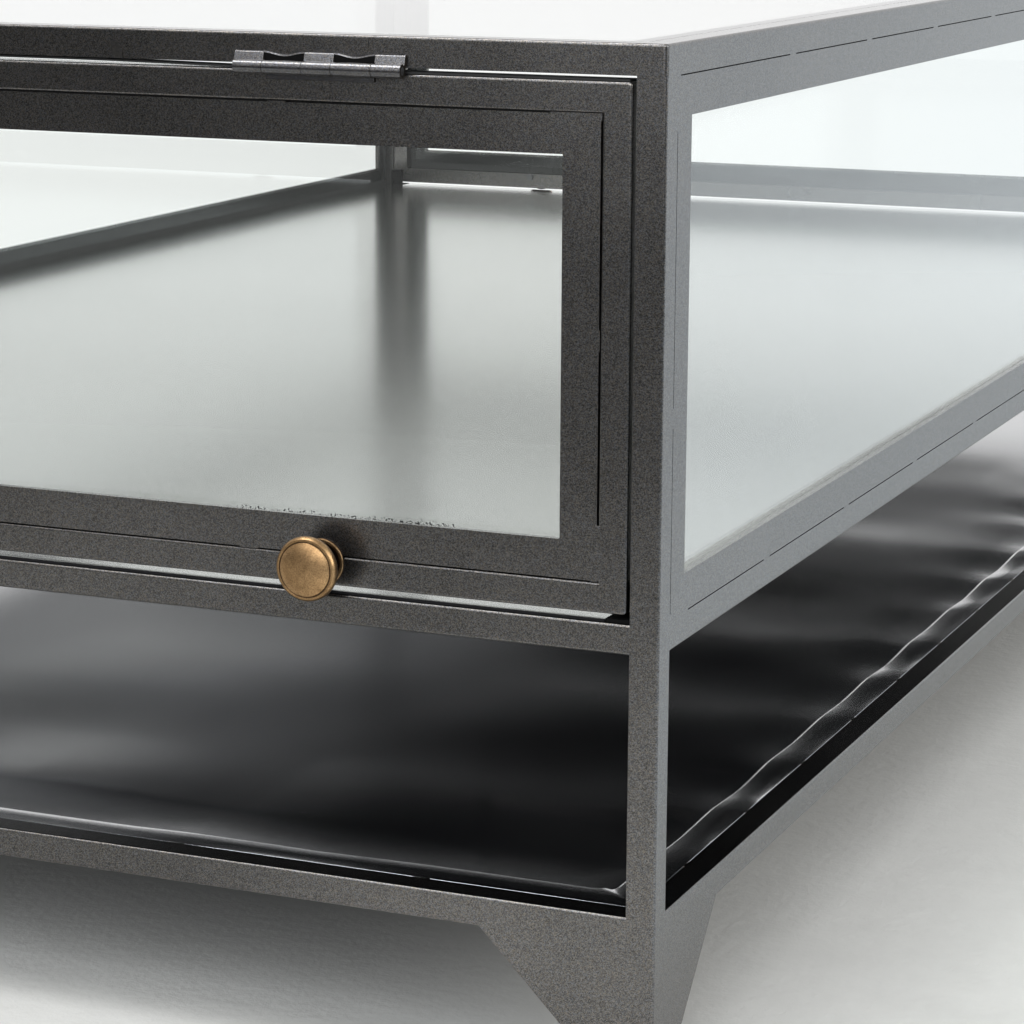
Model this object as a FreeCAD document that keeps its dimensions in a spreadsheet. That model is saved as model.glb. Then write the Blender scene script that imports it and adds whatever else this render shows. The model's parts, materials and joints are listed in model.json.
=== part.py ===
"""Collectors display table: welded tube frame, glazed case with two top-hung doors, open lower shelf.

Frame of the model: +Z up, +Y along the long side, front door towards -Y, origin on the floor under the
middle of the table. All lengths are millimetres and come from the sheet "Sizes".
"""
import FreeCAD
import Part
import math
import os
import re
import Sketcher

doc = FreeCAD.newDocument("collectors_display_table")

# ---------------------------------------------------------------------------------------------------
# Driving dimensions
# ---------------------------------------------------------------------------------------------------
DRIVING = {
    # overall
    "overall_length": 1500.0,
    "overall_width": 820.0,
    "overall_height": 440.0,
    # square steel tube of the frame and of the doors
    "tube": 12.7,
    "tube_wall": 1.2,
    "edge_round": 1.2,
    "corner_round": 1.8,
    # legs and lower shelf
    "glide_height": 2.6,
    "glide_plug": 9.0,
    "glide_play": 0.15,
    "leg_height": 66.0,
    "gusset_width": 66.3,
    "gusset_toe": 2.0,
    "plate_thickness": 3.0,
    "shelf_clear": 112.0,
    "shelf_sheet": 1.5,
    "shelf_rim": 16.2,
    "shelf_dish": 2.5,
    "shelf_corner": 12.0,
    "shelf_slope": 45.0,
    # glazing bars: flat bars tacked inside the tubes, flush with the outer faces
    "bar_width": 16.2,
    "bar_thickness": 3.0,
    "seam": 0.5,
    "tack": 8.5,
    "butt_tack": 5.4,
    "corner_tack": 3.0,
    "side_top_first_tack": 147.7,
    "side_top_tacks": 11,
    "side_low_first_tack": 126.7,
    "side_low_tacks": 11,
    "side_upright_first_tack": 84.0,
    "side_upright_tacks": 1,
    "door_top_first_tack": 143.6,
    "door_top_tacks": 4,
    "door_low_first_tack": 159.0,
    "door_low_tacks": 4,
    "door_upright_first_tack": 90.6,
    "door_upright_tacks": 1,
    "shelf_end_first_tack": 98.7,
    "shelf_end_tacks": 6,
    "shelf_side_first_tack": 64.0,
    "shelf_side_tacks": 17,
    # glass and the tape that bonds it
    "glass": 4.0,
    "glass_overlap": 11.0,
    "tape": 0.5,
    "tape_width": 7.0,
    "tape_inset": 2.0,
    "top_glass": 5.0,
    "top_glass_recess": 0.3,
    "top_glass_play": 1.0,
    "ledge_width": 16.0,
    "ledge_thickness": 3.0,
    # display deck
    "deck_sheet": 1.2,
    "deck_setback": 1.5,
    "deck_play": 0.6,
    "deck_brace": 12.7,
    "shelf_brace_width": 20.0,
    "shelf_brace_height": 6.0,
    "brace_spacing": 500.0,
    # doors
    "door_gap_top": 2.4,
    "door_gap_side": 1.6,
    "door_gap_low": 3.8,
    # hinges
    "hinge_inset": 150.0,
    "short_knuckle": 13.3,
    "long_knuckle": 18.0,
    "knuckle_play": 0.3,
    "pin_radius": 1.6,
    "pin_play": 0.05,
    "leaf": 1.3,
    "leaf_rise": 6.6,
    "leaf_dip": 2.1,
    "leaf_drop": 5.0,
    # door stops with their magnets
    "stop_width": 11.0,
    "stop_setback": 1.5,
    "stop_sheet": 1.5,
    "magnet_radius": 4.0,
    "magnet_height": 2.0,
    "magnet_play": 0.3,
    "magnet_margin": 0.6,
    # knobs
    "knob_inset": 151.0,
    "knob_rise": 9.9,
    "knob_radius": 13.8,
    "knob_reach": 19.0,
    "knob_neck": 4.4,
    "knob_stem": 3.0,
    "knob_flare": 8.0,
    "knob_shoulder": 2.8,
    "knob_collar": 1.6,
    "knob_rim": 4.8,
    "knob_bevel": 0.7,
    "knob_lip": 2.1,
    "knob_groove": 0.6,
    "knob_dome": 1.7,
    "backplate_radius": 10.3,
    "backplate_height": 1.6,
    "backplate_lip": 0.7,
    "backplate_dish": 0.9,
    "screw_radius": 1.5,
    "screw_play": 0.1,
    "screw_head_radius": 3.0,
    "screw_head": 1.8,
    "screw_grip": 9.0,
}

# Sizes that follow from the driving ones
FOLLOWING = {
    "half_length": "overall_length / 2",
    "half_width": "overall_width / 2",
    "post_foot": "glide_height",
    "shelf_level": "glide_height + leg_height + tube",
    "deck_level": "shelf_level + shelf_clear + tube",
    "top_level": "overall_height - tube",
    "inner_length": "overall_length - 2 * tube",
    "inner_width": "overall_width - 2 * tube",
    "case_height": "top_level - deck_level",
    "bar_step": "bar_width + seam",
    "glass_setback": "bar_thickness + tape",
    # doors
    "door_width": "inner_width - 2 * door_gap_side",
    "door_height": "case_height - door_gap_top - door_gap_low",
    "door_low": "deck_level + door_gap_low",
    "door_top": "top_level - door_gap_top",
    "knob_place": "half_width - knob_inset",
    # hinges
    "barrel_radius": "pin_radius + pin_play + leaf",
    "barrel_length": "3 * short_knuckle + 2 * long_knuckle",
    "hinge_place": "half_width - hinge_inset",
    "hinge_level": "(top_level + door_top) / 2",
    "hinge_reach": "half_length + barrel_radius",
    # stops
    "stop_depth": "tube + magnet_play + magnet_height + stop_sheet",
    "stop_rise": "door_gap_low + tube / 2 + magnet_radius + magnet_margin",
    "stop_centre": "half_width - tube - stop_width / 2",
}

sheet = doc.addObject("Spreadsheet::Sheet", "Sizes")
for row, (alias, value) in enumerate(DRIVING.items(), start=1):
    sheet.set(f"A{row}", alias)
    sheet.set(f"B{row}", str(value))
    sheet.setAlias(f"B{row}", alias)
for row, (alias, formula) in enumerate(FOLLOWING.items(), start=len(DRIVING) + 1):
    sheet.set(f"A{row}", alias)
    sheet.set(f"B{row}", "=" + formula)
    sheet.setAlias(f"B{row}", alias)
doc.recompute()

# ---------------------------------------------------------------------------------------------------
# Helpers
# ---------------------------------------------------------------------------------------------------
ALIASES = set(DRIVING) | set(FOLLOWING)
X = FreeCAD.Vector(1, 0, 0)
Y = FreeCAD.Vector(0, 1, 0)
Z = FreeCAD.Vector(0, 0, 1)
UPRIGHT = FreeCAD.Rotation()
TURNED = FreeCAD.Rotation(Z, 180)
FRONT = 1
BACK = -1
ENDS = ((FRONT, "front"), (BACK, "back"))
SAME_PLACE = 1e-6
nodes = []


def sized(formula):
    """Turn plain alias names in a formula into references to the sheet."""
    return re.sub(r"[a-z_]+", lambda word: "Sizes." + word[0] if word[0] in ALIASES else word[0], formula)


def value_of(formula):
    """The number a formula gives now, used to draw a sketch near its solved place."""
    return float(sheet.evalExpression(sized(formula)))


def bind(obj, prop, formula):
    obj.setExpression(prop, sized(formula))


def place(obj, x="0", y="0", z="0", turn=UPRIGHT, end=FRONT):
    """Place an object; coordinates stay bound to the sheet. The back end is the front turned about Z."""
    rotation = turn if end == FRONT else TURNED.multiply(turn)
    obj.Placement = FreeCAD.Placement(FreeCAD.Vector(0, 0, 0), rotation)
    if end != FRONT:
        x = f"-({x})"
        y = f"-({y})"
    for axis, formula in zip("xyz", (x, y, z)):
        bind(obj, "Placement.Base." + axis, formula)


def keep(obj, label):
    """Name a finished sub-part: its label is also its file's name."""
    obj.Label = label
    nodes.append(obj)
    return obj


def axes(along, across, normal):
    """Rotation that carries the local X, Y and Z axes onto three directions of the model."""
    return FreeCAD.Rotation(along, across, normal, "XYZ")


def new_body(name):
    return doc.addObject("PartDesign::Body", name)


def plane_of(body, role):
    return next(f for f in body.Origin.OriginFeatures if f.Role == role)


def fix_point(sketch, geometry, position, x, y):
    """Hold one point of a sketch at two coordinates bound to the sheet."""
    for kind, formula in (("DistanceX", x), ("DistanceY", y)):
        index = sketch.addConstraint(Sketcher.Constraint(kind, geometry, position, value_of(formula)))
        sketch.setExpression(f"Constraints[{index}]", sized(formula))


def add_loop(sketch, corners):
    """Closed outline. A corner is (x, y), or (x, y, radius, side) where an arc leaves it.

    side is +1 for an arc whose centre lies left of the run to the next corner, -1 for one on the right.
    """
    first = sketch.GeometryCount
    points = [FreeCAD.Vector(value_of(c[0]), value_of(c[1]), 0) for c in corners]
    for i, corner in enumerate(corners):
        start = points[i]
        end = points[(i + 1) % len(points)]
        if len(corner) == 2:
            sketch.addGeometry(Part.LineSegment(start, end), False)
            continue
        radius = value_of(corner[2])
        chord = end - start
        left = FreeCAD.Vector(-chord.y, chord.x, 0).normalize()
        middle = (start + end) * 0.5
        sagitta = max(radius ** 2 - (chord.Length / 2) ** 2, 0) ** 0.5
        centre = middle + left * sagitta * corner[3]
        # a sketch keeps its arcs anticlockwise, so a run with its centre on the right is drawn backwards
        begin, finish = (start, end) if corner[3] > 0 else (end, start)
        angles = [math.atan2(point.y - centre.y, point.x - centre.x) for point in (begin, finish)]
        sketch.addGeometry(Part.ArcOfCircle(Part.Circle(centre, Z, radius), *angles), False)
    ends = []
    for i in range(len(corners)):
        curve = sketch.Geometry[first + i]
        forward = curve.StartPoint.distanceToPoint(points[i]) < SAME_PLACE
        ends.append((1, 2) if forward else (2, 1))
    for i, corner in enumerate(corners):
        j = (i + 1) % len(corners)
        sketch.addConstraint(Sketcher.Constraint("Coincident", first + i, ends[i][1], first + j, ends[j][0]))
        fix_point(sketch, first + i, ends[i][0], corner[0], corner[1])
        if len(corner) > 2:
            radius = value_of(corner[2])
            index = sketch.addConstraint(Sketcher.Constraint("Radius", first + i, radius))
            sketch.setExpression(f"Constraints[{index}]", sized(corner[2]))


def add_circle(sketch, x, y, radius):
    centre = FreeCAD.Vector(value_of(x), value_of(y), 0)
    index = sketch.addGeometry(Part.Circle(centre, Z, value_of(radius)), False)
    fix_point(sketch, index, 3, x, y)
    number = sketch.addConstraint(Sketcher.Constraint("Radius", index, value_of(radius)))
    sketch.setExpression(f"Constraints[{number}]", sized(radius))


def new_sketch(body, role, name, loops=(), circles=(), level=None):
    """Sketch on one of the body's own origin planes, level millimetres above it."""
    sketch = body.newObject("Sketcher::SketchObject", name)
    sketch.AttachmentSupport = [(plane_of(body, role), "")]
    sketch.MapMode = "FlatFace"
    if level is not None:
        bind(sketch, "AttachmentOffset.Base.z", level)
    for loop in loops:
        add_loop(sketch, loop)
    for circle in circles:
        add_circle(sketch, *circle)
    return sketch


def box_loop(x0, y0, x1, y1):
    return [(x0, y0), (x1, y0), (x1, y1), (x0, y1)]


def round_box_loop(x, y, radius):
    """Rectangle of half sizes x and y about the sketch's origin, with rounded corners."""
    flat_x = f"{x} - {radius}"
    flat_y = f"{y} - {radius}"
    return [(f"-({flat_x})", f"-({y})"), (flat_x, f"-({y})", radius, 1),
            (x, f"-({flat_y})"), (x, flat_y, radius, 1),
            (flat_x, y), (f"-({flat_x})", y, radius, 1),
            (f"-({x})", flat_y), (f"-({x})", f"-({flat_y})", radius, 1)]


def pad(body, sketch, length, name, back=False, both=False):
    feature = body.newObject("PartDesign::Pad", name)
    feature.Profile = sketch
    bind(feature, "Length", length)
    feature.Reversed = back
    feature.Midplane = both
    return feature


def pocket(body, sketch, name, length=None, back=False):
    """Pocket through everything, or to a depth. back cuts along the sketch's normal, not against it."""
    feature = body.newObject("PartDesign::Pocket", name)
    feature.Profile = sketch
    if length is None:
        feature.Type = "ThroughAll"
        feature.Midplane = True
    else:
        bind(feature, "Length", length)
        feature.Reversed = back
    return feature


def spin(body, sketch, name):
    """Turn a profile drawn on the XZ plane about the body's Z axis."""
    feature = body.newObject("PartDesign::Revolution", name)
    feature.Profile = sketch
    feature.ReferenceAxis = (sketch, ["V_Axis"])
    feature.Angle = 360
    return feature


def repeat(body, original, sketch, axis, length, count, name):
    """Linear pattern of one feature along a sketch axis; a count of one leaves the feature as it is."""
    pattern = body.newObject("PartDesign::LinearPattern", name)
    pattern.Originals = [original]
    pattern.Direction = (sketch, [axis])
    bind(pattern, "Length", length)
    bind(pattern, "Occurrences", count)
    body.Tip = pattern
    return pattern


def round_edges(body, base, wanted, radius, name):
    """Fillet the edges of base that the test picks."""
    doc.recompute()
    names = [f"Edge{i}" for i, edge in enumerate(base.Shape.Edges, start=1) if wanted(edge)]
    feature = body.newObject("PartDesign::Fillet", name)
    feature.Base = (base, names)
    bind(feature, "Radius", radius)
    return feature


def group(label, members, x="0", y="0", z="0", turn=UPRIGHT, end=FRONT):
    """Several solids that share one node."""
    compound = doc.addObject("Part::Compound", label)
    compound.Links = members
    place(compound, x, y, z, turn, end)
    return keep(compound, label)


def block(name, length, width, height):
    """Plain block centred on its own origin in X and Y, standing on it in Z."""
    body = new_body(name)
    half_x = f"({length}) / 2"
    half_y = f"({width}) / 2"
    outline = box_loop(f"-({half_x})", f"-({half_y})", half_x, half_y)
    pad(body, new_sketch(body, "XY_Plane", name + "_plan", [outline]), height, name + "_pad")
    return body


def rotor(name, profile):
    """Turned piece: the profile's x is the radius, its y the height along local Z."""
    body = new_body(name)
    spin(body, new_sketch(body, "XZ_Plane", name + "_profile", [profile]), name + "_turned")
    return body


# ---------------------------------------------------------------------------------------------------
# Steel tubes
# ---------------------------------------------------------------------------------------------------
HALF_TUBE = "tube / 2"
HALF_BORE = "(tube / 2 - tube_wall)"


def straight_tube(name, length, rounded):
    """Square tube along local Z, centred. rounded names the long edges with a radius, as (x side, y side).

    The other long edges are ground flush with the piece beside them and stay square.
    """
    body = new_body(name)
    outline = []
    for side_x, side_y in ((1, -1), (1, 1), (-1, 1), (-1, -1)):
        x = f"{side_x} * tube / 2"
        y = f"{side_y} * tube / 2"
        if (side_x, side_y) not in rounded:
            outline.append((x, y))
            continue
        inner_x = f"{side_x} * (tube / 2 - edge_round)"
        inner_y = f"{side_y} * (tube / 2 - edge_round)"
        if side_x == side_y:
            outline += [(x, inner_y, "edge_round", 1), (inner_x, y)]
        else:
            outline += [(inner_x, y, "edge_round", 1), (x, inner_y)]
    bore = box_loop(f"-{HALF_BORE}", f"-{HALF_BORE}", HALF_BORE, HALF_BORE)
    section = new_sketch(body, "XY_Plane", name + "_section", [outline, bore])
    pad(body, section, length, name + "_run", both=True)
    return body


def mitred_tube(name, length, holes=()):
    """Square tube along local X with its ends cut at 45 degrees.

    The long outer edge lies at y = 0 and the face at z = tube. Holes are (x, y, radius), through Z.
    """
    body = new_body(name)
    half = f"{length} / 2"
    cut = "corner_round * (1 - cos(45 deg))"
    outline = [(f"-({half} - corner_round)", "0"), (f"{half} - corner_round", "0", "corner_round", 1),
               (f"{half} - {cut}", cut), (f"{half} - tube", "tube"), (f"-({half} - tube)", "tube"),
               (f"-({half} - {cut})", cut, "corner_round", 1)]
    blank = pad(body, new_sketch(body, "XY_Plane", name + "_plan", [outline]), "tube", name + "_blank")
    tube = value_of("tube")
    corner = value_of("corner_round")

    def on_rounded_edge(edge):
        at_face = all(abs(vertex.Z - tube) < SAME_PLACE for vertex in edge.Vertexes)
        outer = all(vertex.Y < corner for vertex in edge.Vertexes)
        inner = all(abs(vertex.Y - tube) < SAME_PLACE for vertex in edge.Vertexes)
        return at_face and (outer or inner)

    round_edges(body, blank, on_rounded_edge, "edge_round", name + "_rounding")
    bore = box_loop("tube_wall", "tube_wall", "tube - tube_wall", "tube - tube_wall")
    pocket(body, new_sketch(body, "YZ_Plane", name + "_bore_section", [bore]), name + "_bore")
    if holes:
        pocket(body, new_sketch(body, "XY_Plane", name + "_hole_plan", circles=holes), name + "_holes")
    return body


def mitred_frame(labels, width, height, place_run, low_holes=()):
    """Four mitred tubes, in the order low, right, top, left as seen against the face's normal."""
    for i, label in enumerate(labels):
        length = (width, height)[i % 2]
        run = mitred_tube(label, length, low_holes if i == 0 else ())
        place_run(run, i)
        keep(run, label)


# The top frame: mitred at its four corners, its faces level with the posts
def place_top_rail(run, i):
    inward = (Y, -X, -Y, X)[i]
    x = ("0", "half_width", "0", "-half_width")[i]
    y = ("-half_length", "0", "half_length", "0")[i]
    place(run, x, y, "top_level", axes(inward.cross(Z), inward, Z))


mitred_frame(("top_rail_front", "top_rail_right", "top_rail_back", "top_rail_left"),
             "overall_width", "overall_length", place_top_rail)

# Posts: from the glides up to the top frame, the outer edge rounded
for side_x, side_y, label in ((1, 1, "back_right"), (-1, 1, "back_left"), (-1, -1, "front_left"),
                              (1, -1, "front_right")):
    post = straight_tube(f"post_{label}", "top_level - post_foot", [(side_x, side_y)])
    place(post, f"{side_x} * (half_width - tube / 2)", f"{side_y} * (half_length - tube / 2)",
          "(top_level + post_foot) / 2")
    keep(post, f"post_{label}")

# Middle and bottom rails: butted between the posts. Local X points out of the table, local Y up.
# Over the doors the middle rails are rounded above and below, under the side glazing only below.
OUTER_TOP = (1, 1)
OUTER_LOW = (1, -1)
RAIL_ROWS = (("middle_rail", "deck_level", [OUTER_TOP, OUTER_LOW], [OUTER_LOW]),
             ("bottom_rail", "shelf_level", [OUTER_TOP], [OUTER_TOP]))
for row, level, end_rounded, side_rounded in RAIL_ROWS:
    for end, name in ENDS:
        rail = straight_tube(f"{row}_{name}", "inner_width", end_rounded)
        place(rail, "0", "-(half_length - tube / 2)", f"{level} - tube / 2", axes(-Y, Z, -X), end)
        keep(rail, f"{row}_{name}")
    for end, name in ((FRONT, "right"), (BACK, "left")):
        rail = straight_tube(f"{row}_{name}", "inner_length", side_rounded)
        place(rail, "half_width - tube / 2", "0", f"{level} - tube / 2", axes(X, Z, -Y), end)
        keep(rail, f"{row}_{name}")

# ---------------------------------------------------------------------------------------------------
# Legs
# ---------------------------------------------------------------------------------------------------
GUSSET = [("0", "0"), ("gusset_toe", "0"), ("gusset_width", "leg_height"), ("0", "leg_height")]


def gusset(name):
    """Triangular plate beside a post, its slope running down to a narrow toe at the floor."""
    body = new_body(name)
    outline = new_sketch(body, "XY_Plane", name + "_outline", [GUSSET])
    pad(body, outline, "plate_thickness", name + "_plate", both=True)
    return body


def glide(name):
    """Floor glide: a foot as wide as the post with a plug that fits its bore."""
    body = new_body(name)
    square = round_box_loop("tube / 2", "tube / 2", "edge_round")
    pad(body, new_sketch(body, "XY_Plane", name + "_foot_plan", [square]), "glide_height", name + "_foot")
    half_plug = f"({HALF_BORE} - glide_play)"
    outline = box_loop(f"-{half_plug}", f"-{half_plug}", half_plug, half_plug)
    pad(body, new_sketch(body, "XY_Plane", name + "_plug_plan", [outline]), "glide_height + glide_plug",
        name + "_plug")
    return body


glides = []
for end, name in ENDS:
    for side, hand in ((1, "right"), (-1, "left")):
        # the hand is named as seen with the front door towards the viewer
        across = side if end == FRONT else -side
        corner = f"{name}_{hand}"
        end_plate = gusset(f"gusset_{corner}_end")
        place(end_plate, f"{across} * (half_width - tube)", "-(half_length - plate_thickness / 2)",
              "post_foot", axes(-across * X, Z, across * Y), end)
        side_plate = gusset(f"gusset_{corner}_side")
        place(side_plate, f"{across} * (half_width - plate_thickness / 2)", "-(half_length - tube)",
              "post_foot", axes(Y, Z, X), end)
        group(f"leg_gussets_{corner}", [end_plate, side_plate])
        foot = glide(f"glide_{corner}")
        place(foot, f"{across} * (half_width - tube / 2)", "-(half_length - tube / 2)", "0", end=end)
        glides.append(foot)
group("floor_glides", glides)

# ---------------------------------------------------------------------------------------------------
# Glazing
# ---------------------------------------------------------------------------------------------------
BACK_OF_BARS = "-(glass_setback)"


def glazing_bar(name, inner, first, count):
    """Flat bar between two tubes that are inner apart, with the weld lands that bridge its seam.

    Local X runs from the butted end to the end that meets the tube, local Y out to the seam, the face is at
    z = 0. The tacks stand first from either tube; a single one stands first from the tube the bar meets.
    """
    body = new_body(name)
    length = f"({inner} - bar_step)"
    blade = new_sketch(body, "XY_Plane", name + "_blade", [box_loop("0", "0", length, "bar_width")])
    pad(body, blade, "bar_thickness", name + "_bar")
    near = "bar_width - seam"
    far = "bar_width + seam"
    ends = [box_loop("0", near, "butt_tack", far), box_loop(f"{length} - corner_tack", near, length, far)]
    pad(body, new_sketch(body, "XY_Plane", name + "_end_lands", ends), "bar_thickness", name + "_end_welds")
    single = value_of(count) < 2
    middle = f"({length} - {first})" if single else f"({first} - bar_step)"
    land = box_loop(f"{middle} - tack / 2", near, f"{middle} + tack / 2", far)
    tack = pad(body, new_sketch(body, "XY_Plane", name + "_land", [land]), "bar_thickness", name + "_tack")
    if not single:
        repeat(body, tack, blade, "H_Axis", f"{inner} - 2 * {first}", count, name + "_tacks")
    return body


def bar_frame(name, width, height, rows):
    """Four bars laid like a pinwheel, face at z = 0, in an opening of width x height between tubes."""
    top, low, upright = rows
    reach_x = f"({width} / 2 - bar_step)"
    reach_y = f"({height} / 2 - bar_step)"
    layout = (("top", width, top, reach_x, reach_y, -X, Y),
              ("right", height, upright, reach_x, f"-{reach_y}", Y, X),
              ("low", width, low, f"-{reach_x}", f"-{reach_y}", X, -Y),
              ("left", height, upright, f"-{reach_x}", reach_y, -Y, -X))
    bars = []
    for key, inner, row, x, y, along, outward in layout:
        bar = glazing_bar(f"{name}_{key}", inner, f"{row}_first_tack", f"{row}_tacks")
        place(bar, x, y, "0", axes(along, outward, -Z))
        bars.append(bar)
    return bars


def tape_ring(name, outer, inner):
    """Bonding tape standing on z = 0; outer and inner are the half sizes (x, y) inside its two edges."""
    body = new_body(name)
    loops = [box_loop(f"-{x}", f"-{y}", x, y) for x, y in (outer, inner)]
    pad(body, new_sketch(body, "XY_Plane", name + "_plan", loops), "tape", name + "_strip")
    return body


def glazing(width, height, rows, labels, x, y, z, turn, end):
    """Bars, tape and pane of one opening; local Z points out of the table and the bars' face is at z = 0."""
    bars_label, tape_label, glass_label = labels
    bars = bar_frame(bars_label, width, height, rows)
    group(bars_label, bars, x, y, z, turn, end)
    # the tape backs the seams as well, so that no light comes through them
    opening = (f"({width} / 2)", f"({height} / 2)")
    window = [f"({half} - bar_step + tape_inset)" for half in opening]
    pane_x, pane_y = [f"({half} - bar_step + glass_overlap)" for half in opening]
    tape = tape_ring(tape_label + "_ring", opening, window)
    place(tape, z=BACK_OF_BARS)
    group(tape_label, [tape], x, y, z, turn, end)
    pane = block(glass_label + "_pane", f"2 * {pane_x}", f"2 * {pane_y}", "glass")
    place(pane, z=f"{BACK_OF_BARS} - glass")
    group(glass_label, [pane], x, y, z, turn, end)


# Side glazing, between the posts, the top frame and the middle rails
for end, hand in ((FRONT, "right"), (BACK, "left")):
    glazing("inner_length", "case_height", ("side_top", "side_low", "side_upright"),
            (f"side_glazing_bars_{hand}", f"side_glass_tape_{hand}", f"side_glass_{hand}"),
            "half_width", "0", "(deck_level + top_level) / 2", axes(Y, Z, X), end)

# Top glass: it lies on tape on a ledge of flat bars inside the top frame
TOP_LEDGE_LEVEL = "(overall_height - top_glass_recess - top_glass - tape)"
ledge_x = "(inner_width / 2)"
ledge_y = "(inner_length / 2)"
ledges = []
for side in (1, -1):
    long_ledge = block(f"ledge_long_{side}", "ledge_width", "inner_length", "ledge_thickness")
    place(long_ledge, f"{side} * ({ledge_x} - ledge_width / 2)", "0", f"{TOP_LEDGE_LEVEL} - ledge_thickness")
    between = "inner_width - 2 * ledge_width"
    short_ledge = block(f"ledge_short_{side}", between, "ledge_width", "ledge_thickness")
    place(short_ledge, "0", f"{side} * ({ledge_y} - ledge_width / 2)", f"{TOP_LEDGE_LEVEL} - ledge_thickness")
    ledges += [long_ledge, short_ledge]
group("top_glass_ledges", ledges)
top_x = "(inner_width / 2 - top_glass_play)"
top_y = "(inner_length / 2 - top_glass_play)"
top_tape = tape_ring("top_glass_tape", [f"({half} - tape_inset)" for half in (top_x, top_y)],
                     [f"({half} - tape_inset - tape_width)" for half in (top_x, top_y)])
place(top_tape, z=TOP_LEDGE_LEVEL)
keep(top_tape, "top_glass_tape")
top_pane = block("top_glass_pane", f"2 * {top_x}", f"2 * {top_y}", "top_glass")
place(top_pane, z=f"{TOP_LEDGE_LEVEL} + tape")
keep(top_pane, "top_glass")

# ---------------------------------------------------------------------------------------------------
# Display deck and lower shelf
# ---------------------------------------------------------------------------------------------------
DECK_X = "(half_width - glass_setback - glass - deck_play)"
DECK_Y = "(half_length - deck_setback)"
NOTCH_X = "(half_width - tube - stop_width - deck_play)"
NOTCH_Y = "(half_length - stop_depth - deck_play)"


def deck():
    """Flat sheet on the middle rails, notched at its corners round the posts and the door stops."""
    body = new_body("display_deck")
    outline = []
    for side_x, side_y in ((1, -1), (1, 1), (-1, 1), (-1, -1)):
        step = [(f"{side_x} * {NOTCH_X}", f"{side_y} * {DECK_Y}"),
                (f"{side_x} * {NOTCH_X}", f"{side_y} * {NOTCH_Y}"),
                (f"{side_x} * {DECK_X}", f"{side_y} * {NOTCH_Y}")]
        outline += step if side_x != side_y else step[::-1]
    pad(body, new_sketch(body, "XY_Plane", "deck_plan", [outline]), "deck_sheet", "deck_sheet_pad")
    place(body, z="deck_level")
    return keep(body, "display_deck")


def braces(label, width, height, level):
    """Cross braces between the side rails, under a sheet; level is the underside of that sheet."""
    pair = []
    for side in (1, -1):
        brace = block(f"{label}_{side}", "inner_width", width, height)
        place(brace, "0", f"{side} * brace_spacing / 2", f"{level} - {height}")
        pair.append(brace)
    group(label, pair)


def shelf():
    """Pressed tray: a flat rim level with the bottom rails, tacked to them, and a shallow dished field."""
    body = new_body("shelf_tray")
    rim_x = "(half_width - tube - seam)"
    rim_y = "(half_length - tube - seam)"
    rim = new_sketch(body, "XY_Plane", "shelf_rim_plan", [box_loop(f"-{rim_x}", f"-{rim_y}", rim_x, rim_y)])
    pad(body, rim, "shelf_sheet", "shelf_rim_sheet", back=True)
    dish_x = f"({rim_x} - shelf_rim)"
    dish_y = f"({rim_y} - shelf_rim)"
    outside = round_box_loop(f"({dish_x} + shelf_sheet)", f"({dish_y} + shelf_sheet)",
                             "(shelf_corner + shelf_sheet)")
    tub = pad(body, new_sketch(body, "XY_Plane", "shelf_tub_plan", [outside]), "shelf_dish + shelf_sheet",
              "shelf_tub", back=True)
    bind(tub, "TaperAngle", "-shelf_slope")
    inside = round_box_loop(dish_x, dish_y, "shelf_corner")
    dish_plan = new_sketch(body, "XY_Plane", "shelf_dish_plan", [inside])
    dish = pocket(body, dish_plan, "shelf_dish_cut", "shelf_dish")
    bind(dish, "TaperAngle", "-shelf_slope")
    # weld lands that bridge the seam to the rails: two rows along the ends, two along the sides
    rows = (("end", rim_y, rim_x, "H_Axis", "inner_width", False),
            ("side", rim_x, rim_y, "V_Axis", "inner_length", True))
    for key, near, along, axis, run, upright in rows:
        first = f"shelf_{key}_first_tack"
        start = f"({first} - {run} / 2)"
        edge = [f"({near} - seam)", f"({near} + seam)"]
        lands = []
        corners = []
        for low, high in ((edge[0], edge[1]), (f"-{edge[1]}", f"-{edge[0]}")):
            spans = [(f"{start} - tack / 2", f"{start} + tack / 2", lands),
                     (f"-{along}", f"-{along} + butt_tack", corners),
                     (f"{along} - butt_tack", along, corners)]
            for begin, finish, loops in spans:
                loop = box_loop(low, begin, high, finish) if upright else box_loop(begin, low, finish, high)
                loops.append(loop)
        pad(body, new_sketch(body, "XY_Plane", f"shelf_{key}_corner_plan", corners), "shelf_sheet",
            f"shelf_{key}_corners", back=True)
        weld = pad(body, new_sketch(body, "XY_Plane", f"shelf_{key}_land_plan", lands), "shelf_sheet",
                   f"shelf_{key}_weld", back=True)
        repeat(body, weld, rim, axis, f"{run} - 2 * {first}", f"shelf_{key}_tacks", f"shelf_{key}_welds")
    place(body, z="shelf_level")
    return keep(body, "lower_shelf")


deck()
braces("deck_braces", "deck_brace", "deck_brace", "deck_level")
shelf()
braces("shelf_braces", "shelf_brace_width", "shelf_brace_height", "(shelf_level - shelf_dish - shelf_sheet)")

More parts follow.
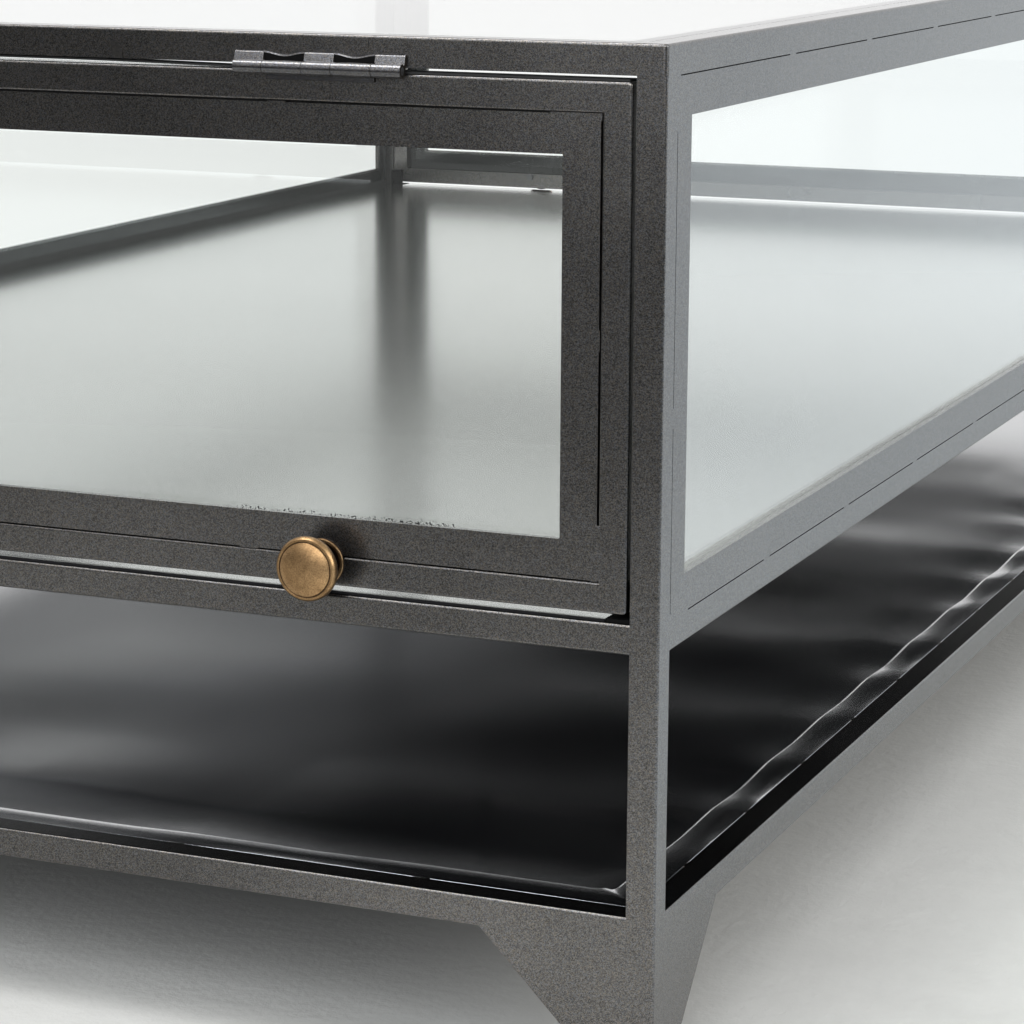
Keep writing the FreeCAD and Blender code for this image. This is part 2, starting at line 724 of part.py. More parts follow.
# ---------------------------------------------------------------------------------------------------
# Door stops and their magnets
# ---------------------------------------------------------------------------------------------------
STOP = [("stop_setback", "0"), ("stop_depth", "0"), ("stop_depth", "stop_rise"),
        ("stop_depth - stop_sheet", "stop_rise"), ("stop_depth - stop_sheet", "stop_sheet"),
        ("stop_setback", "stop_sheet")]
stops = []
magnets = []
for end, name in ENDS:
    for side in (1, -1):
        stop = new_body(f"stop_{name}_{side}")
        section = new_sketch(stop, "YZ_Plane", f"stop_{name}_{side}_section", [STOP])
        pad(stop, section, "stop_width", f"stop_{name}_{side}_angle", both=True)
        place(stop, f"{side} * stop_centre", "-half_length", "deck_level", end=end)
        stops.append(stop)
        magnet = doc.addObject("Part::Cylinder", f"magnet_{name}_{side}")
        bind(magnet, "Radius", "magnet_radius")
        bind(magnet, "Height", "magnet_height")
        place(magnet, f"{side} * stop_centre", "stop_depth - stop_sheet - half_length",
              "door_low + tube / 2", axes(X, Z, -Y), end)
        magnets.append(magnet)
group("door_stops", stops)
group("stop_magnets", magnets)

# ---------------------------------------------------------------------------------------------------
# Hinges: five knuckles, the three odd ones on the table, the two even ones on the door
# ---------------------------------------------------------------------------------------------------
LONG_START = ("-(short_knuckle / 2 + long_knuckle)", "short_knuckle / 2")
SHORT_START = ("-barrel_length / 2", "-short_knuckle / 2", "(barrel_length / 2 - short_knuckle)")
LEAF_FACE = "(barrel_radius - leaf)"
LEAF_GAP = "(barrel_radius + knuckle_play)"


def knuckle_loops(side, reach):
    """Section of a rolled knuckle in the YZ plane: a strip on the table's face wrapped round the pin.

    side is +1 for a leaf that goes up and -1 for one that goes down.
    """
    touch = f"{side} * sqrt(pow(barrel_radius ; 2) - pow({LEAF_FACE} ; 2))"
    end = f"{side} * {reach}"
    bottom = f"{-side} * barrel_radius"
    return [("barrel_radius", end), ("barrel_radius", "0", "barrel_radius", -side),
            ("0", bottom, "barrel_radius", -side), ("-barrel_radius", "0", "barrel_radius", -side),
            (LEAF_FACE, touch), (LEAF_FACE, end)]


def roll(body, name, side, reach, starts, length):
    """One rolled knuckle of the leaf for each start along the pin."""
    for number, start in enumerate(starts):
        section = new_sketch(body, "YZ_Plane", f"{name}_roll_{number}", [knuckle_loops(side, reach)],
                             [("0", "0", "pin_radius + pin_play")], f"{start} + knuckle_play / 2")
        pad(body, section, f"{length} - knuckle_play", f"{name}_knuckle_{number}")


def leaf_plate(body, name, x0, x1, z0, z1):
    """Flat part of a leaf, in the XZ plane against the table's face. The plane's normal is -Y."""
    outline = new_sketch(body, "XZ_Plane", name + "_outline", [box_loop(x0, z0, x1, z1)],
                         level="-barrel_radius")
    return pad(body, outline, "leaf", name + "_plate")


def frame_leaf(name):
    """Leaf on the top rail: its edge stands above knuckles 1, 3 and 5 and dips in an arc over 2 and 4."""
    body = new_body(name)
    leaf_plate(body, name, "-barrel_length / 2 + knuckle_play / 2", "barrel_length / 2 - knuckle_play / 2",
               LEAF_GAP, "leaf_rise")
    dip_radius = "((pow(long_knuckle ; 2) / 4 + pow(leaf_dip ; 2)) / (2 * leaf_dip))"
    dips = [(f"{start} + long_knuckle / 2", f"leaf_rise - leaf_dip + {dip_radius}", dip_radius)
            for start in LONG_START]
    pocket(body, new_sketch(body, "XZ_Plane", name + "_dip_plan", circles=dips), name + "_dips")
    roll(body, name, 1, "leaf_rise", SHORT_START, "short_knuckle")
    return body


def door_leaf(name):
    """Leaf on the door: knuckles 2 and 4, joined by a strip below the middle one."""
    body = new_body(name)
    leaf_plate(body, name, f"{LONG_START[0]} + knuckle_play / 2", f"-({LONG_START[0]} + knuckle_play / 2)",
               "-leaf_drop", f"-{LEAF_GAP}")
    roll(body, name, -1, "leaf_drop", LONG_START, "long_knuckle")
    return body


def pin(name):
    body = new_body(name)
    circle = new_sketch(body, "YZ_Plane", name + "_section", circles=[("0", "0", "pin_radius")])
    pad(body, circle, "barrel_length - knuckle_play", name + "_rod", both=True)
    return body


def hinge_pieces(kind, make, end, name):
    """The right and the left piece of one kind on one door."""
    pieces = []
    for side in (1, -1):
        piece = make(f"{kind}_{name}_{side}")
        place(piece, f"{side} * hinge_place", "-hinge_reach", "hinge_level", end=end)
        pieces.append(piece)
    return pieces


frame_leaves = []
pins = []
for end, name in ENDS:
    frame_leaves += hinge_pieces("frame_leaf", frame_leaf, end, name)
    pins += hinge_pieces("pin", pin, end, name)
group("hinge_frame_leaves", frame_leaves)
group("hinge_pins", pins)

# ---------------------------------------------------------------------------------------------------
# Doors: tube frame, glazing, hinge leaves and two turned knobs
# ---------------------------------------------------------------------------------------------------
RIM_BACK = "(knob_reach - knob_dome - knob_rim)"
RIM_FRONT = "(knob_reach - knob_dome)"
FACE_EDGE = "(knob_radius - knob_lip - knob_groove)"
DOME = f"((pow({FACE_EDGE} ; 2) + pow(knob_dome ; 2)) / (2 * knob_dome))"
KNOB = [("0", "backplate_height"), ("knob_neck", "backplate_height"),
        ("knob_neck", "backplate_height + knob_stem", "knob_flare", -1),
        ("knob_radius - knob_shoulder", f"{RIM_BACK} - knob_collar"),
        ("knob_radius - knob_shoulder", RIM_BACK),
        ("knob_radius - knob_bevel", RIM_BACK), ("knob_radius", f"{RIM_BACK} + knob_bevel"),
        ("knob_radius", f"{RIM_FRONT} - knob_bevel"), ("knob_radius - knob_bevel", RIM_FRONT),
        ("knob_radius - knob_lip", RIM_FRONT), ("knob_radius - knob_lip", f"{RIM_FRONT} - knob_groove"),
        (FACE_EDGE, f"{RIM_FRONT} - knob_groove"), (FACE_EDGE, RIM_FRONT, DOME, 1), ("0", "knob_reach")]
SCREW_HOLE = "(screw_radius + screw_play)"
BACKPLATE = [(SCREW_HOLE, "0"), ("backplate_radius", "0"), ("backplate_radius", "backplate_height"),
             ("backplate_radius - backplate_lip", "backplate_height"),
             ("knob_neck + backplate_lip", "backplate_height - backplate_dish"),
             ("knob_neck", "backplate_height"), (SCREW_HOLE, "backplate_height")]
SCREW = [("0", "-(tube + screw_head)"), ("screw_head_radius", "-(tube + screw_head)"),
         ("screw_head_radius", "-tube"), ("screw_radius", "-tube"),
         ("screw_radius", "backplate_height + screw_grip - screw_play"),
         ("0", "backplate_height + screw_grip - screw_play")]


def knob(name):
    """Turned knob: neck, flared shoulder, bevelled rim, a groove and a domed face; the screw hole is blind."""
    body = rotor(name, KNOB)
    base = new_sketch(body, "XY_Plane", name + "_hole_plan", circles=[("0", "0", SCREW_HOLE)],
                      level="backplate_height")
    pocket(body, base, name + "_hole", "screw_grip", back=True)
    return body


def on_door(kind, make, end, name):
    """The right and the left piece of one kind at the knobs of one door."""
    pieces = []
    for side in (1, -1):
        piece = make(f"{kind}_{name}_{side}")
        place(piece, f"{side} * knob_place", "-half_length", "door_low + knob_rise", axes(X, Z, -Y), end)
        pieces.append(piece)
    return pieces


def door(end, name):
    """One door; its left and right are named as seen with that door towards the viewer."""
    def place_tube(run, i):
        inward = (Z, -X, -Z, X)[i]
        x = ("0", "door_width / 2", "0", "-door_width / 2")[i]
        z = ("door_low", "(door_low + door_top) / 2", "door_top", "(door_low + door_top) / 2")[i]
        place(run, x, "-(half_length - tube)", z, axes(inward.cross(-Y), inward, -Y), end)

    holes = [(f"{side} * knob_place", "knob_rise", SCREW_HOLE) for side in (1, -1)]
    labels = [f"{name}_door_{part}" for part in ("low_tube", "right_tube", "top_tube", "left_tube")]
    mitred_frame(labels, "door_width", "door_height", place_tube, low_holes=holes)
    glazing("(door_width - 2 * tube)", "(door_height - 2 * tube)", ("door_top", "door_low", "door_upright"),
            (f"{name}_door_glazing_bars", f"{name}_door_glass_tape", f"{name}_door_glass"),
            "0", "-half_length", "(door_low + door_top) / 2", axes(X, Z, -Y), end)
    group(f"{name}_door_hinge_leaves", hinge_pieces("door_leaf", door_leaf, end, name))
    group(f"{name}_door_knobs", on_door("knob", knob, end, name))
    group(f"{name}_door_knob_backplates",
          on_door("backplate", lambda label: rotor(label, BACKPLATE), end, name))
    group(f"{name}_door_knob_screws", on_door("screw", lambda label: rotor(label, SCREW), end, name))


for end, name in ENDS:
    door(end, name)

# ---------------------------------------------------------------------------------------------------
# Check the document and write one STEP file for each sub-part
# ---------------------------------------------------------------------------------------------------
doc.recompute()
for obj in doc.Objects:
    if "Invalid" in obj.State or "Error" in obj.State:
        raise RuntimeError(f"{obj.Label} did not compute: {obj.State}")
for node in nodes:
    if node.Shape.isNull() or not node.Shape.isValid() or not node.Shape.Solids:
        raise RuntimeError(f"{node.Label} has no valid solid")
os.makedirs("parts", exist_ok=True)
for node in nodes:
    node.Shape.exportStep(os.path.join("parts", node.Label + ".step"))
print(f"{len(nodes)} sub-parts, {sum(len(node.Shape.Solids) for node in nodes)} solids")
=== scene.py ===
"""Looks of the collectors display table: gunmetal lacquer, glazing, antique brass and a plain studio.

Everything is in metres in the frame of the table: +Z up, +Y along the long side away from the front door.
"""
import json
import math

import bpy
from mathutils import Matrix, Vector


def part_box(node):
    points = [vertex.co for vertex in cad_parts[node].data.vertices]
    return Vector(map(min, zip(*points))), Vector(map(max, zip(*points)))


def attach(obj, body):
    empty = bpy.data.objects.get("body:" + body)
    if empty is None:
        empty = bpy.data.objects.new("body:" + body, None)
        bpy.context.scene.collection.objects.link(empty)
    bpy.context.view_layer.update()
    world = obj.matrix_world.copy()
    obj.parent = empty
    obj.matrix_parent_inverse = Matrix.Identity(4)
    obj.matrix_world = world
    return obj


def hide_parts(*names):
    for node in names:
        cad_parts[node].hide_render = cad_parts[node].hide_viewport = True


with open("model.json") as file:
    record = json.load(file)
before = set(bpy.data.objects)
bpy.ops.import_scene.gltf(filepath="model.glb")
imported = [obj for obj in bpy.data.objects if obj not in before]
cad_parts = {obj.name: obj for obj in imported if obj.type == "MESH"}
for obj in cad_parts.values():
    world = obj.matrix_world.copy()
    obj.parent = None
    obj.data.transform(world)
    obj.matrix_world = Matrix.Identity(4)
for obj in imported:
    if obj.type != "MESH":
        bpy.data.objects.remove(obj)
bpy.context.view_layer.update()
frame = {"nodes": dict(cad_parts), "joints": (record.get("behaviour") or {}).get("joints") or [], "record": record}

MM = 0.001

KNOB_X = 259 * MM
KNOB_Z = sum(corner.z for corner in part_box("front_door_knobs")) / 2
# How far out along the table the doors and the ends of the sheets begin, and how softly
DOOR_ZONE = 735 * MM
BLUR = 2 * MM

# Camera: it looks at the front right corner of the table from a little above
CAMERA_PLACE = (0.82475, -1.89787, 0.51419)
CAMERA_AZIMUTH = 22.6685
CAMERA_FALL = 12.0535
CAMERA_ROLL = 0.2996
CAMERA_LENS = 109.33

# Studio: the floor turns to plain white between two distances from the middle of the table
FLOOR_HALF = 12.0
FLOOR_COLOUR = (0.66, 0.66, 0.64)
FADE = (1.15, 2.1)
# In mirrors the floor has a dark band ahead of the front door, a cool side to the right and a dim far part
BAND_MIDDLE = 0.02
BAND_EDGES = (0.06, 0.27)
BAND_END = (-0.85, -0.80)
BAND_DARK = 0.44
COOL_SIDE = (0.42, 0.6)
COOL_WHITE = (0.89, 0.955, 1.0)
COOL_FLOOR = 0.82
DIM_PART = (-2.35, 0.5)
DIM_ROOM = 0.10
SKY_ON_SURFACES = 0.65
# Each softbox: its name, its place, what it is aimed at, its size, its power and its colour
SOFTBOXES = [
    ("overhead_softbox", (-0.7, -1.2, 2.8), (0, -0.6, 0.2), 1.2, 33, (1.0, 1.0, 1.0)),
    ("front_softbox", (0.4, -3.2, 1.5), (0.1, -0.7, 0.1), 2.2, 57, (0.94, 0.97, 1.0)),
    ("right_softbox", (3.2, -1.0, 1.7), (0.2, 0, 0.2), 1.8, 53, (1.0, 0.995, 0.97)),
]


# ---------------------------------------------------------------------------------------------------
# Node helpers
# ---------------------------------------------------------------------------------------------------
def new_material(name):
    """A material with an empty tree but for its output; returns the material and its tree."""
    material = bpy.data.materials.new(name)
    material.use_nodes = True
    tree = material.node_tree
    tree.nodes.clear()
    tree.nodes.new("ShaderNodeOutputMaterial")
    return material, tree


def show(tree, surface):
    """Send a shader to the output of its material."""
    output = next(n for n in tree.nodes if n.bl_idname == "ShaderNodeOutputMaterial")
    tree.links.new(surface, output.inputs[0])


def add_node(tree, kind, inputs=None, **settings):
    """A node with its settings; inputs maps a socket's name or number to a value or to another socket."""
    node = tree.nodes.new(kind)
    for key, value in settings.items():
        setattr(node, key, value)
    for key, value in (inputs or {}).items():
        if isinstance(value, bpy.types.NodeSocket):
            tree.links.new(value, node.inputs[key])
        else:
            node.inputs[key].default_value = value
    return node


def place_on_piece(tree, stretch=(1, 1, 1)):
    """Object coordinates, stretched along the axes: metres of the table's own frame."""
    where = add_node(tree, "ShaderNodeTexCoord").outputs["Object"]
    return add_node(tree, "ShaderNodeMapping", {"Vector": where, "Scale": stretch}).outputs[0]


def noise(tree, scale, detail=2.0, rough=0.5, stretch=(1, 1, 1), warp=0.0):
    """Noise between 0 and 1 with scale features to the metre."""
    node = add_node(tree, "ShaderNodeTexNoise", {"Vector": place_on_piece(tree, stretch), "Scale": scale,
                                                 "Detail": detail, "Roughness": rough, "Distortion": warp})
    return node.outputs["Fac"]


def axes(tree, vector):
    """The X, Y and Z of a vector, by name."""
    return add_node(tree, "ShaderNodeSeparateXYZ", {0: vector}).outputs


def facing(tree):
    """The X, Y and Z of the way that the surface looks, by name."""
    return axes(tree, add_node(tree, "ShaderNodeNewGeometry").outputs["Normal"])


def grains(tree, scale):
    """A value of its own between 0 and 1 for each grain, with scale grains to the metre."""
    node = add_node(tree, "ShaderNodeTexVoronoi", {"Vector": place_on_piece(tree), "Scale": scale})
    return axes(tree, node.outputs["Color"])["X"]


def spread(tree, value, low, high, to_low=0.0, to_high=1.0, smooth=False):
    """Map the range low..high of a value on to_low..to_high, and hold it there."""
    node = add_node(tree, "ShaderNodeMapRange", {"Value": value, "From Min": low, "From Max": high,
                                                 "To Min": to_low, "To Max": to_high})
    node.interpolation_type = "SMOOTHSTEP" if smooth else "LINEAR"
    return node.outputs[0]


def math_node(tree, operation, *values):
    return add_node(tree, "ShaderNodeMath", dict(enumerate(values)), operation=operation).outputs[0]


def absolute(tree, value):
    return math_node(tree, "ABSOLUTE", value)


def product(tree, value, *others):
    for other in others:
        value = math_node(tree, "MULTIPLY", value, other)
    return value


def mix_colour(tree, factor, first, second):
    """Colour between first and second; either may be a colour or a socket."""
    def as_colour(value):
        return value if isinstance(value, bpy.types.NodeSocket) else (*value, 1.0)

    node = add_node(tree, "ShaderNodeMix", {"Factor": factor, 6: as_colour(first), 7: as_colour(second)},
                    data_type="RGBA")
    return node.outputs[2]


def relief(tree, height, distance, strength=1.0, below=None):
    """Bump of the given height in metres, on top of another one."""
    inputs = {"Height": height, "Distance": distance, "Strength": strength}
    if below is not None:
        inputs["Normal"] = below
    return add_node(tree, "ShaderNodeBump", inputs).outputs[0]


def shader(tree, inputs):
    return add_node(tree, "ShaderNodeBsdfPrincipled", inputs).outputs[0]


def mix_shaders(tree, factor, first, second):
    """The first shader where the factor is 0, the second where it is 1."""
    return add_node(tree, "ShaderNodeMixShader", {0: factor, 1: first, 2: second}).outputs[0]


# ---------------------------------------------------------------------------------------------------
# Materials
# ---------------------------------------------------------------------------------------------------
# Lacquer: how many there are of each to the metre, how deep they are, and the tints of its flakes
FLAKES = 3000.0
TINTS = 2200.0
CLOUDS = 7.0
PEEL = 300.0
FLAKE_DEPTH = 20e-6
PEEL_DEPTH = 60e-6
BROWN = (1.10, 1.0, 0.86)
BLUE = (0.92, 0.98, 1.10)
# Its roughness where it has run smooth, and that of its clear top coat
RUN_SMOOTH = 0.16
TOP_COAT_ROUGH = 0.16


def tinge(colour, tint):
    return tuple(c * k for c, k in zip(colour, tint))


def gunmetal(name, dark, light, rough, coat, grain_depth, shaded_ends=False):
    """Lacquer with a fine metallic grain: salt and pepper flakes, brown and blue tints, orange peel.

    Where it lies flat it has run smooth before it dried. With shaded ends the faces that look along the
    table's short side, such as the ends of hinge knuckles, get painted shade: they are made near-black.
    """
    material, tree = new_material(name)
    flakes = grains(tree, FLAKES)
    clouds = noise(tree, CLOUDS, detail=4.0, rough=0.5)
    tone = math_node(tree, "ADD", spread(tree, flakes, 0.05, 0.95, 0.06, 0.76),
                     spread(tree, clouds, 0.35, 0.70, 0.0, 0.18))
    tinted = mix_colour(tree, grains(tree, TINTS), tinge(light, BROWN), tinge(light, BLUE))
    flat = spread(tree, facing(tree)["Z"], 0.90, 0.99)
    gloss = math_node(tree, "ADD", spread(tree, clouds, 0.3, 0.7, -0.03, 0.03),
                      spread(tree, flat, 0.0, 1.0, rough, RUN_SMOOTH))
    surface = relief(tree, noise(tree, PEEL, detail=2.0), PEEL_DEPTH, grain_depth)
    surface = relief(tree, flakes, FLAKE_DEPTH, grain_depth, below=surface)
    metal = shader(tree, {"Base Color": mix_colour(tree, tone, dark, tinted), "Metallic": 1.0,
                          "Roughness": gloss, "Normal": surface, "Coat Weight": coat,
                          "Coat Roughness": TOP_COAT_ROUGH, "Coat IOR": 1.5})
    if shaded_ends:
        # Painted shade: faces that look along the short side, such as knuckle ends, are made near-black.
        sideways = absolute(tree, facing(tree)["X"])
        shade_colour = mix_colour(tree, flakes, (0.003, 0.003, 0.003), (0.02, 0.015, 0.01))
        painted_end_shade = shader(tree, {"Base Color": shade_colour, "Roughness": 0.6, "Specular IOR Level": 0.15})
        metal = mix_shaders(tree, spread(tree, sideways, 0.75, 0.9), metal, painted_end_shade)
    show(tree, metal)
    return material


# Sheet lacquer: the colour of dust on it, and from where to where the painted light on its underside fades to
# primer
DUST = (0.55, 0.55, 0.53)
UNDERSIDE_LIGHT_FADE = (-0.20, 0.06)
PRIMER_DARK = (0.006, 0.006, 0.007)
PRIMER_LIGHT = (0.014, 0.014, 0.015)


def sheet_lacquer(name, dark, light, rough, coat_rough, below):
    """The same lacquer on rolled sheet: smooth and glossy with a slow wave and dust.

    Its ends, below the doors, have more gloss. Its cut edges show dull primer. Its underside gets painted
    light: lit in the colour below on the left, and fading to dark primer towards the right.
    """
    material, tree = new_material(name)
    flakes = noise(tree, 1100.0, detail=1.0)
    clouds = noise(tree, 2.6, detail=2.0, rough=0.4)
    specks = spread(tree, noise(tree, 260.0, detail=2.0, rough=0.7), 0.735, 0.76)
    colour = mix_colour(tree, spread(tree, flakes, 0.3, 0.7), dark, light)
    where = axes(tree, place_on_piece(tree))
    dull = spread(tree, absolute(tree, where["Y"]), DOOR_ZONE - BLUR, DOOR_ZONE + BLUR, 1.0, 0.35)
    wave = relief(tree, noise(tree, 5.0, detail=1.0), 0.6 * MM, 0.5)
    gloss = product(tree, spread(tree, clouds, 0.3, 0.7, rough - 0.02, rough + 0.02), dull)
    upper = shader(tree, {"Base Color": mix_colour(tree, specks, colour, DUST), "Metallic": 1.0,
                          "Roughness": gloss, "Normal": relief(tree, specks, 60e-6, 0.5, below=wave),
                          "Coat Weight": 1.0, "Coat Roughness": coat_rough, "Coat IOR": 1.55})
    primer = shader(tree, {"Base Color": mix_colour(tree, flakes, PRIMER_DARK, PRIMER_LIGHT),
                           "Roughness": 0.8, "Specular IOR Level": 0.1,
                           "Normal": relief(tree, flakes, 40e-6, 0.5)})
    # Painted light on the underside: the colour below on the left, fading to dark primer to the right.
    lit_underside = shader(tree, {"Base Color": mix_colour(tree, flakes, tuple(c * 0.8 for c in below), below),
                              "Metallic": 1.0, "Roughness": 0.3, "Coat Weight": 1.0, "Coat Roughness": 0.2})
    fade_to_shade = spread(tree, where["X"], *UNDERSIDE_LIGHT_FADE, 0.0, 0.97, smooth=True)
    under = mix_shaders(tree, fade_to_shade, lit_underside, primer)
    upward = facing(tree)["Z"]
    edge = mix_shaders(tree, spread(tree, upward, -0.6, -0.4), under, primer)
    show(tree, mix_shaders(tree, spread(tree, upward, 0.3, 0.6), edge, upper))
    return material


# Crumbs of sealant stick to a door's pane from its sight line up
CRUMB_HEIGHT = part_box("front_door_glazing_bars")[0].z + 16.5 * MM
CRUMB_REACH = 7 * MM


def clear_glass():
    """Float glass with a faint green cast and crumbs of sealant low on the doors; lamps reach behind it."""
    material, tree = new_material("float_glass")
    dust = noise(tree, 60.0, detail=6.0, rough=0.7)
    glass = shader(tree, {"Base Color": (0.975, 0.993, 0.980, 1.0), "IOR": 1.43, "Transmission Weight": 1.0,
                          "Roughness": spread(tree, dust, 0.45, 0.8, 0.0, 0.012)})
    where = axes(tree, place_on_piece(tree))
    low = spread(tree, where["Z"], CRUMB_HEIGHT, CRUMB_HEIGHT + CRUMB_REACH, 1.0, 0.0)
    patches = spread(tree, noise(tree, 22.0, detail=1.0), 0.43, 0.58)
    on_door = spread(tree, absolute(tree, where["Y"]), DOOR_ZONE, DOOR_ZONE + BLUR)
    lumps = product(tree, noise(tree, 750.0, detail=2.0, rough=0.7), low, patches, on_door)
    crumb = shader(tree, {"Base Color": (0.02, 0.02, 0.02, 1.0), "Roughness": 0.8})
    glass = mix_shaders(tree, spread(tree, lumps, 0.56, 0.58), glass, crumb)
    open_to_lamps = add_node(tree, "ShaderNodeBsdfTransparent", {"Color": (0.90, 0.93, 0.92, 1.0)})
    rays = add_node(tree, "ShaderNodeLightPath").outputs
    show(tree, mix_shaders(tree, rays["Is Shadow Ray"], glass, open_to_lamps.outputs[0]))
    return material


def matt(name, dark, light, scale, rough, depth, specular=0.5):
    """Plain dull stuff, such as tape or nylon: a little mottled, a little rough."""
    material, tree = new_material(name)
    mottle = noise(tree, scale, detail=4.0, rough=0.6)
    show(tree, shader(tree, {"Base Color": mix_colour(tree, mottle, dark, light), "Roughness": rough,
                             "Specular IOR Level": specular, "Normal": relief(tree, mottle, depth)}))
    return material


def bare_metal(name, dark, light, rough):
    """Plated steel with fine drawn lines."""
    material, tree = new_material(name)
    lines = noise(tree, 900.0, detail=3.0, stretch=(1, 0.1, 1))
    show(tree, shader(tree, {"Base Color": mix_colour(tree, lines, dark, light), "Metallic": 1.0,
                             "Roughness": spread(tree, lines, 0.3, 0.7, rough, rough + 0.15),
                             "Normal": relief(tree, lines, 20e-6, 0.3)}))
    return material


# Brass: how far from the middle of the table a knob and its plate are painted dark, as shade with patina,
# the radii of the groove turned in a knob's face, and the dark brown of that painted shade and patina
KNOB_SHADE_LINE = 759.5 * MM
PLATE_SHADE_LINE = 751.4 * MM
KNOB_GROOVE = (11.5 * MM, 11.9 * MM)
GROOVE_EDGE = 0.2 * MM
PATINA_AND_SHADE = (0.030, 0.018, 0.012)


def outside_groove(tree, where, groove):
    """One away from a groove turned round the axis of each knob, falling to a third in it."""
    across = math_node(tree, "SUBTRACT", absolute(tree, where["X"]), KNOB_X)
    high = math_node(tree, "SUBTRACT", where["Z"], KNOB_Z)
    square = math_node(tree, "ADD", product(tree, across, across), product(tree, high, high))
    radius = math_node(tree, "SQRT", square)
    outside = math_node(tree, "ADD", spread(tree, radius, groove[0] - GROOVE_EDGE, groove[0], 1.0, 0.3),
                        spread(tree, radius, groove[1], groove[1] + GROOVE_EDGE))
    return math_node(tree, "MINIMUM", outside, 1.0)


def antique_brass(name, dark, light, shade_line, groove=(0.0, 0.0)):
    """Brushed brass with a brown patina in broad patches and a speckled satin grain.

    Painted shade with some patina makes it nearly black on what turns back towards the door, on what lies
    closer to the door than the shade line, in metres from the middle of the table, and in a turned groove
    between two radii.
    """
    material, tree = new_material(name)
    patches = noise(tree, 95.0, detail=5.0, rough=0.6, warp=0.8)
    grain = noise(tree, 1700.0, detail=2.0, rough=0.7)
    colour = mix_colour(tree, spread(tree, patches, 0.38, 0.66), dark, light)
    speckle = spread(tree, grain, 0.42, 0.66, 0.0, 0.6)
    colour = mix_colour(tree, speckle, colour, tuple(c * 0.5 for c in dark))
    where = axes(tree, place_on_piece(tree))
    turned_out = product(tree, facing(tree)["Y"], math_node(tree, "SIGN", where["Y"]))
    past_shade_line = spread(tree, absolute(tree, where["Y"]), shade_line - 0.6 * MM, shade_line)
    # Painted shade: dark under the knob's head, in the backplate's dish and in the groove.
    unshaded = product(tree, spread(tree, turned_out, -0.35, 0.0), past_shade_line, outside_groove(tree, where, groove))
    show(tree, shader(tree, {"Base Color": mix_colour(tree, unshaded, PATINA_AND_SHADE, colour), "Metallic": 1.0,
                             "Roughness": spread(tree, patches, 0.3, 0.7, 0.42, 0.32),
                             "Normal": relief(tree, grain, 20e-6, 0.5)}))
    return material


TUBE_LACQUER = gunmetal("gunmetal_on_tube", (0.020, 0.020, 0.020), (0.235, 0.228, 0.221), 0.29, 0.35, 0.25)
# The below colours are the painted light on each sheet's underside.
DECK_LACQUER = sheet_lacquer("gunmetal_on_deck", (0.189, 0.198, 0.184), (0.239, 0.249, 0.233), 0.24, 0.15,
                             below=(0.13, 0.14, 0.16))
SHELF_LACQUER = sheet_lacquer("gunmetal_on_shelf", (0.22, 0.232, 0.25), (0.28, 0.295, 0.32), 0.22, 0.12,
                              below=(0.10, 0.10, 0.10))
HINGE_LACQUER = gunmetal("gunmetal_on_hinge", (0.055, 0.055, 0.058), (0.20, 0.20, 0.205), 0.24, 0.35, 0.3,
                         shaded_ends=True)
BRASS = antique_brass("antique_brass", (0.30, 0.180, 0.085), (0.56, 0.355, 0.175), KNOB_SHADE_LINE, KNOB_GROOVE)
# The plate's brass is a darker copy of the knob's, as more painted shade.
SHADED_PLATE_BRASS = antique_brass("antique_brass_plate_shaded", (0.26, 0.16, 0.08), (0.45, 0.30, 0.16), PLATE_SHADE_LINE)
# Black rubber of the door stops; the same near-black is used as painted shade in the hinge notches.
BLACK_RUBBER_AND_SHADE = matt("black_rubber_and_shade", (0.003, 0.003, 0.003), (0.006, 0.006, 0.006), 700.0, 0.9, 30e-6,
                   specular=0.08)
FINISH = {
    "lacquered_steel": TUBE_LACQUER,
    "lacquered_sheet": DECK_LACQUER,
    "lacquered_hinge": HINGE_LACQUER,
    "clear_glass": clear_glass(),
    "glazing_tape": matt("bonding_tape", (0.012, 0.012, 0.012), (0.03, 0.03, 0.03), 800.0, 0.7, 30e-6),
    "antique_brass": BRASS,
    "bare_steel": bare_metal("blackened_steel", (0.10, 0.10, 0.105), (0.18, 0.18, 0.185), 0.35),
    "magnet": bare_metal("nickel_plate", (0.42, 0.41, 0.38), (0.60, 0.59, 0.55), 0.2),
    "glide_plastic": matt("black_nylon", (0.010, 0.010, 0.011), (0.02, 0.02, 0.022), 500.0, 0.55, 20e-6),
}

for subpart in frame["record"]["subparts"]:
    finished = frame["nodes"][subpart["node"]]
    finished.data.materials.clear()
    finished.data.materials.append(FINISH[subpart["material_slot"]])
frame["nodes"]["door_stops"].data.materials[0] = BLACK_RUBBER_AND_SHADE


# ---------------------------------------------------------------------------------------------------
# Modelling helpers: everything is picked in edit mode by its place
# ---------------------------------------------------------------------------------------------------
def start_piece(name, add, **settings):
    """Add a primitive by itself, named, and go into edit mode with all of it selected."""
    bpy.ops.object.select_all(action="DESELECT")
    add(**settings)
    piece = bpy.context.object
    piece.name = piece.data.name = name
    bpy.ops.object.mode_set(mode="EDIT")
    bpy.ops.mesh.select_mode(type="VERT")
    bpy.ops.mesh.select_all(action="SELECT")
    return piece


